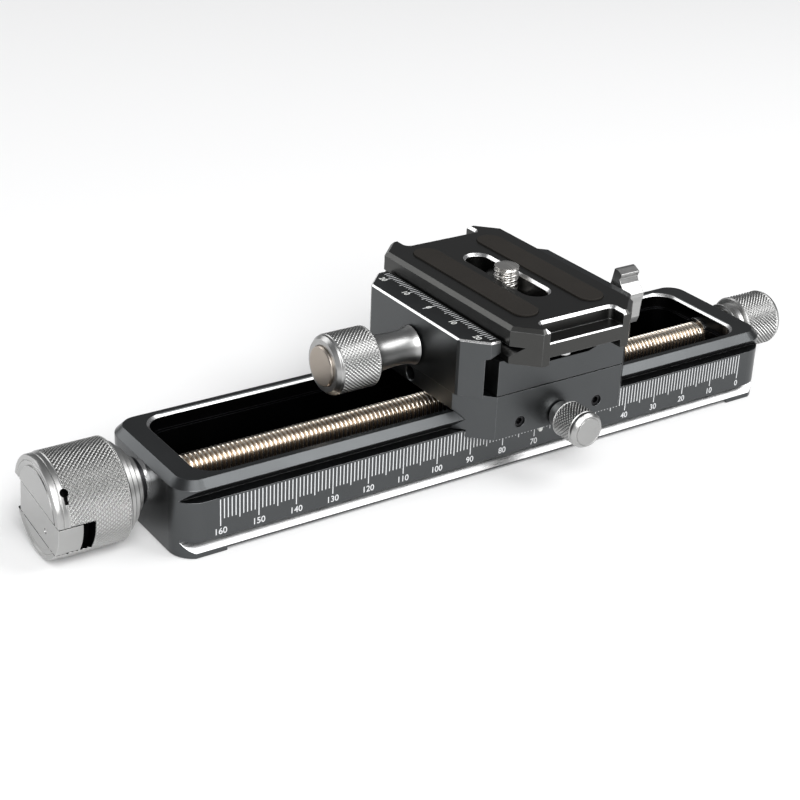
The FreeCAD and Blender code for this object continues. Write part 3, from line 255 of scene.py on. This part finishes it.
def anodised(name, dark, light, cut_and_painted_bright_faces=None, shaded=None):
    """Bead-blasted and anodised aluminium: fine grain, faint clouding, edges lighter from rubbed wear and
    painted highlight.
    Its first mask marks faces that are cut bright and faces given painted light; its second marks faces in
    deep shade, painted near-black."""
    roughness = 0.34
    g = Graph(name)
    rounded, edge = g.soft_edges(0.00022)
    clouds = g.noise(60, 4)
    grain = g.noise(9000, 2, 0.6)
    colour = g.mix(clouds, rgb(*dark), rgb(*light))
    # Edges mixed towards light grey: partly rubbed wear, partly a painted highlight along the edge.
    wear_and_edge_highlight = g.product(edge, g.range(g.noise(700, 4, 0.7), 0.40, 0.75, 0.10, 0.55))
    colour = g.mix(wear_and_edge_highlight, colour, rgb(0.42, 0.43, 0.44))
    rough = g.math("ADD", g.range(clouds, 0.3, 0.7, roughness - 0.04, roughness + 0.05),
                   g.range(grain, 0.3, 0.7, -0.04, 0.04))
    if shaded:
        colour = g.mix(shaded(g), colour, rgb(0.010, 0.010, 0.011))
    if cut_and_painted_bright_faces:
        # A lighter colour on the faces cut bright, and painted light on the rail's low flanks.
        mask = cut_and_painted_bright_faces(g)
        colour = g.mix(mask, colour, rgb(0.60, 0.60, 0.60))
        brushed = g.noise(4000, 2, 0.5, g.stretch((0.05, 1, 1)))
        rough = g.math("ADD", g.product(rough, g.math("SUBTRACT", 1.0, mask)),
                       g.product(mask, g.range(brushed, 0.3, 0.7, 0.24, 0.36)))
    return g.finish(colour, rough, g.bump(grain, 0.10, 0.00003, rounded))


def slanted(g):
    """1 on faces that slope upwards between level and upright."""
    return g.inside(g.split(g.normal)[2], 0.45, 0.9, 0.02)


def rail_bright(g):
    """The chamfer around the mouth of the well, and the flanks that face down, whose lighter colour is
    painted light.
    """
    x, y, z = g.split(g.place)
    inner = g.product(g.inside(g.size(y), -1, 0.01585), g.inside(g.size(x), -1, 0.0829))
    rim = g.product(g.product(slanted(g), inner), g.inside(z, 0.0186, 0.03))
    # Painted light: the low dovetail flanks that slope up towards the lamps get a lighter colour.
    down = g.product(g.inside(g.split(g.normal)[2], 0.3, 0.9, 0.02), g.inside(z, 0.0008, 0.0044))
    return g.math("MAXIMUM", rim, g.product(down, 0.85))


def well_inside(g):
    """1 on the walls and floor of the rail's well."""
    x, y, z = g.split(g.place)
    inner = g.product(g.inside(g.size(y), -1, 0.01552), g.inside(g.size(x), -1, 0.08252))
    return g.product(inner, g.inside(z, 0.0045, 0.01875))


def plate_bright(g):
    """The slanted rims of the long slot and of the two notches."""
    x, y, z = g.split(g.place)
    side = g.size(g.math("SUBTRACT", x, CARRIAGE_X * MM))
    across = g.size(y)
    long_slot = g.product(g.inside(side, -1, 0.0043), g.inside(across, -1, 0.0163))
    notch = g.product(g.inside(side, -1, 0.0122), g.inside(across, 0.0273, 0.0331))
    rims = g.product(slanted(g), g.math("MAXIMUM", long_slot, notch))
    return g.product(rims, g.inside(z, 0.0400, 0.05))


def jaw_bright(g):
    """The chamfers around the top of the moving jaw."""
    z = g.split(g.place)[2]
    return g.product(slanted(g), g.inside(z, 0.0382, 0.05))


def satin(name, colour, roughness):
    """Anodised bright aluminium: faint clouding, fine grain, painted highlight along the edges, painted
    shade in the grooves between knurls.
    """
    g = Graph(name)
    rounded, edge = g.soft_edges(0.00018)
    clouds = g.noise(90, 4)
    grain = g.noise(7000, 2, 0.6)
    tint = g.mix(clouds, rgb(*[c * 0.90 for c in colour]), rgb(*[min(1, c * 1.08) for c in colour]))
    # Painted highlight: the edges are mixed towards a light grey.
    tint = g.mix(g.product(edge, 0.6), tint, rgb(0.72, 0.72, 0.71))
    # Painted shade: the hollows between the knurl diamonds are darkened.
    tint = g.mix(g.product(g.hollows(), 0.55), tint, rgb(*[c * 0.30 for c in colour]))
    rough = g.math("ADD", g.range(clouds, 0.3, 0.7, roughness - 0.05, roughness + 0.06),
                   g.range(grain, 0.3, 0.7, -0.03, 0.03))
    return g.finish(tint, rough, g.bump(grain, 0.10, 0.00003, rounded))


def turned_metal(name, colour, roughness, scale=3000):
    """Plain metal with fine marks drawn out around its length."""
    g = Graph(name)
    rounded = g.soft_edges(0.0001)[0]
    marks = g.noise(scale, 3, 0.6, g.stretch((1, 0.08, 0.08)))
    tint = g.mix(marks, rgb(*[c * 0.82 for c in colour]), rgb(*colour))
    rough = g.range(marks, 0.3, 0.7, roughness - 0.06, roughness + 0.08)
    return g.finish(tint, rough, g.bump(marks, 0.12, 0.00003, rounded))


def thread_metal(name, axis_height, root, crest):
    """Rolled thread of the lead screw: pale crests, and flanks darkening towards the root with painted
    shade.
    """
    g = Graph(name)
    _, y, z = g.split(g.place)
    up = g.math("SUBTRACT", z, axis_height)
    radius = g.math("SQRT", g.math("ADD", g.product(y, y), g.product(up, up)))
    share = g.range(radius, root, crest)
    marks = g.noise(2500, 2, 0.5)
    pale = g.mix(marks, rgb(0.88, 0.80, 0.69), rgb(0.94, 0.87, 0.77))
    # Painted shade: the colour runs from pale at the crest to dark brown at the root.
    tint = g.mix(share, rgb(0.33, 0.25, 0.18), pale)
    rough = g.range(share, 0.0, 1.0, 0.34, 0.24)
    return g.finish(tint, rough, g.bump(marks, 0.04, 0.00002))


def rubber(name):
    """Dull dark rubber with a fine tooth."""
    g = Graph(name)
    rounded, edge = g.soft_edges(0.0002)
    grain = g.noise(5200, 3, 0.7)
    clouds = g.noise(120, 4)
    tint = g.mix(clouds, rgb(0.016, 0.014, 0.012), rgb(0.024, 0.021, 0.018))
    tint = g.mix(g.product(edge, 0.35), tint, rgb(0.06, 0.056, 0.05))
    rough = g.range(grain, 0.3, 0.7, 0.62, 0.78)
    return g.finish(tint, rough, g.bump(grain, 0.35, 0.00006, rounded), 0.0, **{"Specular IOR Level": 0.22})


def ink(name, colour):
    """Matt paint that fills the engraving."""
    g = Graph(name)
    grain = g.noise(6000, 3, 0.6)
    tint = g.mix(grain, rgb(*[c * 0.8 for c in colour]), rgb(*colour))
    return g.finish(tint, g.range(grain, 0.3, 0.7, 0.45, 0.6), g.bump(grain, 0.15, 0.00002), 0.0)


TITAN_DARK, TITAN_LIGHT = (0.080, 0.084, 0.086), (0.095, 0.099, 0.102)
PLATE_DARK, PLATE_LIGHT = (0.058, 0.058, 0.056), (0.070, 0.070, 0.068)
mat_rail = anodised("rail_anodised", TITAN_DARK, TITAN_LIGHT, rail_bright, shaded=well_inside)
mat_block = anodised("block_anodised", TITAN_DARK, TITAN_LIGHT)
mat_plate = anodised("plate_anodised", PLATE_DARK, PLATE_LIGHT, plate_bright)
mat_jaw = anodised("jaw_anodised", TITAN_DARK, TITAN_LIGHT, jaw_bright)
mat_silver = satin("silver_anodised", (0.41, 0.41, 0.405), 0.32)
mat_cap = satin("champagne_anodised", (0.42, 0.37, 0.32), 0.36)
mat_thread = thread_metal("nickel_thread", SPINDLE_Z * MM, 0.00295, 0.00335)
mat_steel = turned_metal("turned_steel", (0.66, 0.66, 0.66), 0.22)
mat_screw = turned_metal("screw_steel", (0.80, 0.78, 0.75), 0.26, 900)
mat_black = turned_metal("black_oxide", (0.035, 0.035, 0.037), 0.38)
mat_brass = turned_metal("brass", (0.62, 0.48, 0.24), 0.28)
mat_rubber = rubber("strip_rubber")
mat_recess = turned_metal("recess_shade", (0.006, 0.006, 0.006), 0.5)
mat_ink = ink("scale_fill", (0.66, 0.67, 0.68))
mat_white = ink("white_fill", (0.86, 0.87, 0.84))

FINISH = {
    "titan": mat_block, "silver": mat_silver, "champagne": mat_cap, "nickel": mat_thread,
    "steel_bright": mat_steel, "black_steel": mat_black, "brass": mat_brass, "rubber": mat_rubber,
    "nylon": mat_black, "ivory": mat_white,
}
SPECIAL = {"rail_base": mat_rail, "quick_release_plate": mat_plate, "clamp_jaw": mat_jaw}


def paint(obj, material):
    if not obj.material_slots:
        obj.data.materials.append(material)
    for s in obj.material_slots:
        s.material = material


slot_of = {s["node"]: s["material_slot"] for s in frame["record"]["subparts"]}
for name, node in nodes.items():
    paint(node, SPECIAL.get(name, FINISH[slot_of[name]]))


# Meshes
def new_object(name, verts, faces, material, body):
    mesh = bpy.data.meshes.new(name)
    mesh.from_pydata([tuple(v) for v in verts], [], faces)
    mesh.materials.append(material)
    obj = bpy.data.objects.new(name, mesh)
    scene.collection.objects.link(obj)
    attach(obj, body)
    return obj


def smooth(obj, degrees):
    obj.data.polygons.foreach_set("use_smooth", [True] * len(obj.data.polygons))
    obj.data.set_sharp_from_angle(angle=math.radians(degrees))


# Sizes in mm that differ by less than TINY are the same. Each knurl diamond is SAMPLES points wide
TINY = 1e-6
SAMPLES = 4


def knurled_radius(radius, depth, around, along):
    """Radius on a diamond knurl; around and along count pitches. Grooves are steep, tops nearly flat."""
    one_way = abs(2 * ((around + along) % 1.0) - 1)
    other_way = abs(2 * ((around - along) % 1.0) - 1)
    steep = max(one_way, other_way)
    return radius - depth * (0.35 * steep + 0.65 * max(0.0, 2 * steep - 1))


def turned_rings(profile, knurl):
    """Rings of a turned solid: radius, height, and how many knurl pitches lie below it."""
    rings = []
    for (r, h), (_, h2) in zip(profile, profile[1:] + [(None, None)]):
        rings.append((r, h, 0.0))
        if knurl and h2 is not None:
            low, high, _, pitch = knurl
            if abs(h - low) < TINY and abs(h2 - high) < TINY:
                count = max(2, round(abs(h2 - h) / pitch)) * SAMPLES
                rings += [(r, h + (h2 - h) * k / count, k / SAMPLES) for k in range(1, count)]
    return rings


def lathe(profile, around, knurl=None):
    """Points and faces of a turned solid along +Z, in mm. profile: (radius, height) from axis to axis.
    knurl: (low, high, depth, pitch along the axis) cuts a diamond knurl on the profile's barrel."""
    rings = turned_rings(profile, knurl)
    verts, faces = [], []
    starts = []
    for r, h, along in rings:
        starts.append(len(verts))
        if r < TINY:
            verts.append((0.0, 0.0, h))
            continue
        for j in range(around):
            radius = knurled_radius(r, knurl[2], j / SAMPLES, along) if along else r
            angle = 2 * math.pi * j / around
            verts.append((radius * math.cos(angle), radius * math.sin(angle), h))
    for i in range(len(rings) - 1):
        a, b = starts[i], starts[i + 1]
        a_is_point, b_is_point = rings[i][0] < TINY, rings[i + 1][0] < TINY
        for j in range(around):
            k = (j + 1) % around
            if a_is_point and b_is_point:
                continue
            if a_is_point:
                faces.append((a, b + k, b + j))
            elif b_is_point:
                faces.append((a + j, a + k, b))
            else:
                faces.append((a + j, a + k, b + k, b + j))
    return verts, faces


def placed(verts, matrix):
    return [(matrix @ Vector(v)) * MM for v in verts]


def frame_matrix(axis_z, axis_x, origin):
    z = Vector(axis_z).normalized()
    x = Vector(axis_x).normalized()
    y = z.cross(x)
    m = Matrix((x, y, z)).transposed().to_4x4()
    return Matrix.Translation(Vector(origin)) @ m


def outward(obj):
    bm = bmesh.new()
    bm.from_mesh(obj.data)
    bmesh.ops.recalc_face_normals(bm, faces=bm.faces)
    bm.to_mesh(obj.data)
    bm.free()


# Threads
def thread_profile_radius(share, crest, depth):
    """Radius over one pitch: flat crest, flank, flat root, flank."""
    flat, root, flank = 0.30, 0.26, 0.22
    if share < flat:
        return crest
    if share < flat + flank:
        return crest - depth * (share - flat) / flank
    if share < flat + flank + root:
        return crest - depth
    return crest - depth * (1 - share) / flank


def threaded_rod(name, axis, origin, start, end, crest, depth, pitch, body, material, node,
                 before=(), after=(), around=44, steps=9, runout=1.0, cutters=()):
    """A rod with one helical groove; before and after are (radius, height) points of its plain ends."""
    count = max(2, int(round((end - start) / pitch * steps)))
    rings = [(r, h, False) for r, h in before]
    rings += [(crest, start + (end - start) * i / count, True) for i in range(count + 1)]
    rings += [(r, h, False) for r, h in after]
    verts, faces = [], []
    for r, h, cut in rings:
        for j in range(around):
            radius = r
            if cut:
                fade = min(1.0, (h - start) / runout, (end - h) / runout)
                share = (h / pitch - j / around) % 1.0
                radius = crest - (crest - thread_profile_radius(share, crest, depth)) * max(0.0, fade)
            angle = 2 * math.pi * j / around
            verts.append((radius * math.cos(angle), radius * math.sin(angle), h))
    for i in range(len(rings) - 1):
        for j in range(around):
            k = (j + 1) % around
            faces.append((i * around + j, i * around + k, (i + 1) * around + k, (i + 1) * around + j))
    first, last = len(verts), len(verts) + 1
    verts += [(0, 0, rings[0][1]), (0, 0, rings[-1][1])]
    top = (len(rings) - 1) * around
    for j in range(around):
        k = (j + 1) % around
        faces.append((first, k, j))
        faces.append((last, top + j, top + k))
    matrix = frame_matrix(axis, (0, 0, 1) if abs(axis[2]) < 0.5 else (1, 0, 0), origin)
    obj = new_object(name, placed(verts, matrix), faces, material, body)
    outward(obj)
    for shape in cutters:
        cut_away(obj, shape)
    smooth(obj, 50)
    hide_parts(node)


def size_of(name):
    low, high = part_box(name)
    return [v / MM for v in low], [v / MM for v in high]


# Knobs
def knob(node, neck, barrel, end, diamonds, axis, side, origin, body, cutters=()):
    """A silver knob that stands for the node. neck, barrel and end are its (radius, height) outline.
    diamonds: how many the barrel's knurl has around it, and its pitch along the axis and depth."""
    count, pitch, depth = diamonds
    knurl = (barrel[0][1], barrel[1][1], depth, pitch)
    verts, faces = lathe(neck + barrel + end, count * SAMPLES, knurl)
    matrix = frame_matrix(axis, side, origin)
    obj = new_object(node + "_knurled", placed(verts, matrix), faces, mat_silver, body)
    outward(obj)
    for shape in cutters:
        cut_away(obj, shape)
    smooth(obj, 30)
    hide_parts(node)


def evaluated_mesh(obj):
    return bpy.data.meshes.new_from_object(obj.evaluated_get(bpy.context.evaluated_depsgraph_get()))


def cut_away(obj, cutter):
    """Takes one closed mesh out of another, for good, and paints the cut faces near-black as painted shade.
    """
    cutter.data.materials.append(mat_recess)
    modifier = obj.modifiers.new("cut", "BOOLEAN")
    modifier.operation = "DIFFERENCE"
    modifier.solver = "EXACT"
    modifier.material_mode = "TRANSFER"
    modifier.object = cutter
    bpy.context.view_layer.update()
    result = evaluated_mesh(obj)
    obj.modifiers.remove(modifier)
    old = obj.data
    obj.data = result
    bpy.data.meshes.remove(old)
    bpy.data.objects.remove(cutter)


def cutter_object(name, verts, faces, matrix):
    mesh = bpy.data.meshes.new(name)
    mesh.from_pydata([tuple(v) for v in placed(verts, matrix)], [], faces)
    obj = bpy.data.objects.new(name, mesh)
    scene.collection.objects.link(obj)
    outward(obj)
    return obj


def block_cutter(name, low_corner, high_corner, matrix):
    (x0, y0, z0), (x1, y1, z1) = low_corner, high_corner
    corners = [(x, y, z) for x in (x0, x1) for y in (y0, y1) for z in (z0, z1)]
    faces = [(0, 1, 3, 2), (4, 6, 7, 5), (0, 4, 5, 1), (2, 3, 7, 6), (0, 2, 6, 4), (1, 5, 7, 3)]
    return cutter_object(name, corners, faces, matrix)


def rod_cutter(name, radius, low_z, high_z, matrix):
    verts, faces = lathe([(0, low_z), (radius, low_z), (radius, high_z), (0, high_z)], 32)
    return cutter_object(name, verts, faces, matrix)


def lead_screw():
    low, high = size_of("lead_screw")
    half = 81.0
    journal = 3.0
    threaded_rod("lead_screw_thread", (1, 0, 0), (0, 0, SPINDLE_Z), -half, half, 3.5, 0.62, 1.25, "spindle",
                 mat_thread, "lead_screw", before=[(journal, low[0]), (journal, -half)],
                 after=[(journal, half), (journal, high[0])])


def clamp_screw():
    low, high = size_of("clamp_screw")
    thread_end = 8.6
    radius = 3.0
    threaded_rod("clamp_screw_thread", (-1, 0, 0), (0, 0, CLAMP_AXIS_Z), -high[0], thread_end, radius,
                 0.45, 1.0, "clamp_knob", mat_steel, "clamp_screw",
                 before=[(2.5, -high[0])], after=[(radius, thread_end), (radius, -low[0])])


def camera_screw():
    """A quarter-inch thread on a slotted head."""
    low, high = size_of("camera_screw")
    head, under_head = low[2], low[2] + 1.7
    reach = 5.5
    slot_half = 0.6
    drive_slot = block_cutter("drive_slot", (CARRIAGE_X - reach, -slot_half, head - 1.0),
                              (CARRIAGE_X + reach, slot_half, head + 0.8), Matrix())
    threaded_rod("camera_screw_thread", (0, 0, 1), (CARRIAGE_X, 0, 0), 39.6, high[2] - 0.35, 3.175,
                 0.62, 1.27, "camera_screw", mat_screw, "camera_screw",
                 before=[(6.2, head), (6.4, head + 0.2), (6.4, head + 1.6), (6.3, under_head),
                         (2.6, under_head), (2.6, 39.2)],
                 after=[(2.5, high[2])], steps=10, runout=0.6, cutters=[drive_slot])


lead_screw()
clamp_screw()
camera_screw()


# The main knob, with the slot that the crank folds into. Heights are measured from the middle of the rail
CRANK_TILT = math.radians(7.5)
KNOB_END = 116.2
SLOT_MIDDLE = 2.4
SLOT_HALF = 4.25
SLOT_DEPTH = 3.25
LEG_DEPTH = 8.9
LEG_START = 8.4
SET_SCREW_X = 103.1
INDEX_X = 113.4
INDEX_WAY = (0, -0.7838, 0.6210)


def main_knob():
    across = (0, -math.cos(CRANK_TILT), -math.sin(CRANK_TILT))
    folded = frame_matrix((-1, 0, 0), across, (0, 0, SPINDLE_Z))
    set_screw_way = (0, math.sin(CRANK_TILT), -math.cos(CRANK_TILT))
    set_screw = frame_matrix(set_screw_way, (1, 0, 0), (-SET_SCREW_X, 0, SPINDLE_Z))
    index = frame_matrix(INDEX_WAY, (-1, 0, 0), (-INDEX_X, 0, SPINDLE_Z))
    slot_low, slot_high = -(SLOT_MIDDLE + SLOT_HALF), SLOT_HALF - SLOT_MIDDLE
    beyond = KNOB_END + 2
    hub = [(0, 109.5), (3.0, 109.5), (3.0, 92.8), (6.8, 92.8), (7.0, 93.0), (7.0, 94.8)]
    collars = [(9.2, 94.8), (9.4, 95.0), (9.4, 96.3), (9.2, 96.5),
               (10.7, 96.5), (10.9, 96.7), (10.9, 97.9), (10.7, 98.1), (12.1, 98.1)]
    barrel = [(12.5, 98.5), (12.5, 113.3)]
    rim = [(12.3, 113.6), (12.3, 114.55), (12.12, 114.7), (12.3, 114.85), (12.3, 115.85), (12.1, KNOB_END)]
    face = [(11.15, KNOB_END), (11.05, KNOB_END - 0.16), (10.95, KNOB_END - 0.16), (10.85, KNOB_END),
            (10.35, KNOB_END), (9.75, KNOB_END - 0.32), (9.65, KNOB_END - 0.32), (9.6, KNOB_END),
            (0, KNOB_END)]
    cutters = [
        block_cutter("cut_a", (-15, slot_low, KNOB_END - SLOT_DEPTH), (15, slot_high, beyond), folded),
        block_cutter("cut_b", (LEG_START, slot_low, KNOB_END - LEG_DEPTH), (15, slot_high, beyond), folded),
        rod_cutter("cut_c", 1.25, 3.0, 14.0, set_screw),
        rod_cutter("cut_d", 1.0, 9.5, 14.0, index),
        block_cutter("cut_e", (-0.42, 0.0, 11.4), (0.42, 2.7, 14.0), index),
    ]
    knob("main_knob", hub + collars, barrel, rim + face, (71, 1.12, 0.44), (-1, 0, 0), across,
         (0, 0, SPINDLE_Z), "spindle", cutters)


def right_knob():
    neck = [(0, 104.0), (3.0, 104.0), (3.0, 91.5), (6.4, 91.5), (6.5, 91.7), (5.7, 92.9), (5.5, 93.4),
            (5.5, 94.3), (6.0, 95.1), (7.3, 95.1)]
    barrel = [(7.66, 95.5), (7.66, 106.3)]
    end = [(7.5, 106.55), (7.3, 107.2), (6.9, 107.7), (5.75, 107.7), (5.65, 107.56), (5.55, 107.56),
           (5.45, 107.7), (0, 107.7)]
    knob("right_knob", neck, barrel, end, (46, 1.05, 0.40), (1, 0, 0), (0, 0, 1),
         (0, 0, SPINDLE_Z), "spindle")


def clamp_knob():
    neck = [(0, 35.1), (3.0, 35.1), (3.0, 15.9), (4.9, 15.9), (5.1, 16.05), (4.95, 16.35), (4.7, 16.9),
            (4.5, 17.7), (4.38, 18.7), (4.32, 19.8), (4.3, 20.9), (4.35, 22.4), (4.5, 24.4), (4.7, 26.2),
            (5.0, 27.7), (5.4, 28.7), (6.0, 29.1), (7.3, 29.1)]
    barrel = [(7.67, 29.5), (7.67, 39.7)]
    end = [(7.45, 39.95), (7.4, 40.5), (6.6, 41.45), (5.2, 41.45), (5.2, 40.45), (0, 40.45)]
    knob("clamp_knob", neck, barrel, end, (48, 1.0, 0.38), (-1, 0, 0), (0, 0, 1),
         (0, 0, CLAMP_AXIS_Z), "clamp_knob")


def lock_knob():
    neck = [(0, 32.5), (1.9, 32.5), (1.9, 25.3), (3.2, 25.3), (3.4, 25.5), (3.4, 28.5), (4.45, 28.5)]
    barrel = [(4.75, 28.8), (4.75, 34.9)]
    end = [(4.55, 35.1), (4.55, 35.6), (4.7, 35.7), (4.7, 36.0), (4.05, 36.95), (3.95, 37.0), (3.7, 37.0),
           (3.65, 36.9), (3.55, 36.9), (3.5, 37.1), (0, 37.1)]
    knob("lock_knob", neck, barrel, end, (30, 1.0, 0.38), (0, -1, 0), (0, 0, 1),
         (CARRIAGE_X, 0, LOCK_AXIS_Z), "lock")


main_knob()
right_knob()
clamp_knob()
lock_knob()


# Engraved scales
NUMBER_HEIGHT = 2.3
MARK_THICKNESS = 0.03
MARK_SUNK = 0.01
RAIL_FACE_Y = -19.5
RAIL_ZERO_X = 80
RAIL_COUNT = 160
JAW_TOP = 39.7


def strip(verts, faces, corners, thickness, up):
    """A thin plate through four corners, raised along up."""
    start = len(verts)
    lift = Vector(up) * thickness
    verts += [Vector(c) for c in corners] + [Vector(c) + lift for c in corners]
    faces += [(start + 4, start + 5, start + 6, start + 7), (start + 3, start + 2, start + 1, start)]
    for i in range(4):
        j = (i + 1) % 4
        faces.append((start + i, start + j, start + 4 + j, start + 4 + i))


def number(name, text, matrix, body, material):
    curve = bpy.data.curves.new(name, "FONT")
    curve.body = text
    curve.size = NUMBER_HEIGHT * MM
    curve.align_x = "CENTER"
    curve.align_y = "CENTER"
    curve.extrude = 0.00001
    curve.offset = 0.00002
    obj = bpy.data.objects.new(name, curve)
    scene.collection.objects.link(obj)
    obj.matrix_world = matrix
    bpy.context.view_layer.update()
    mesh = evaluated_mesh(obj)
    mesh.transform(obj.matrix_world)
    bpy.data.objects.remove(obj)
    flat = bpy.data.objects.new(name, mesh)
    mesh.materials.clear()
    mesh.materials.append(material)
    scene.collection.objects.link(flat)
    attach(flat, body)


def facing(x, y, z, right, up):
    r, u = Vector(right), Vector(up)
    m = Matrix((r, u, r.cross(u))).transposed().to_4x4()
    return Matrix.Translation(Vector((x, y, z)) * MM) @ m


def rail_scale():
    """Marks each millimetre, longer at 5 and 10, and a number at each 10."""
    verts, faces = [], []
    half = 0.13
    top = 14.1
    y = RAIL_FACE_Y + MARK_SUNK
    for s in range(RAIL_COUNT + 1):
        x = RAIL_ZERO_X - s
        bottom = 7.2 if s % 10 == 0 else (8.2 if s % 5 == 0 else 8.95)
        corners = [(x - half, y, bottom), (x + half, y, bottom), (x + half, y, top), (x - half, y, top)]
        strip(verts, faces, corners, MARK_THICKNESS, (0, -1, 0))
    obj = new_object("rail_scale_marks", [v * MM for v in verts], faces, mat_ink, "rail")
    outward(obj)
    for value in range(0, RAIL_COUNT + 10, 10):
        matrix = facing(RAIL_ZERO_X - value, RAIL_FACE_Y, 5.75, (1, 0, 0), (0, 0, 1))
        number("rail_number_%d" % value, str(value), matrix, "rail", mat_ink)


def jaw_scale():
    """Marks each millimetre either way from the middle, and numbers at 0, 10 and 20."""
    verts, faces = [], []
    half = 0.12
    inner = -7.35
    z = JAW_TOP - MARK_SUNK
    for s in range(-23, 24):
        length = 5.4 if s == 0 else (2.9 if s % 10 == 0 else (2.3 if s % 5 == 0 else 1.7))
        outer = inner - length
        corners = [(outer, s - half, z), (inner, s - half, z), (inner, s + half, z), (outer, s + half, z)]
        strip(verts, faces, corners, MARK_THICKNESS, (0, 0, 1))
    obj = new_object("jaw_scale_marks", [v * MM for v in verts], faces, mat_ink, "jaw")
    outward(obj)
    for i, value in enumerate((20, 10, 0, 10, 20)):
        matrix = facing(-11.0, 20.6 - 10.3 * i, JAW_TOP, (0, -1, 0), (1, 0, 0))
        number("jaw_number_%d" % i, str(value), matrix, "jaw", mat_white)


rail_scale()
jaw_scale()
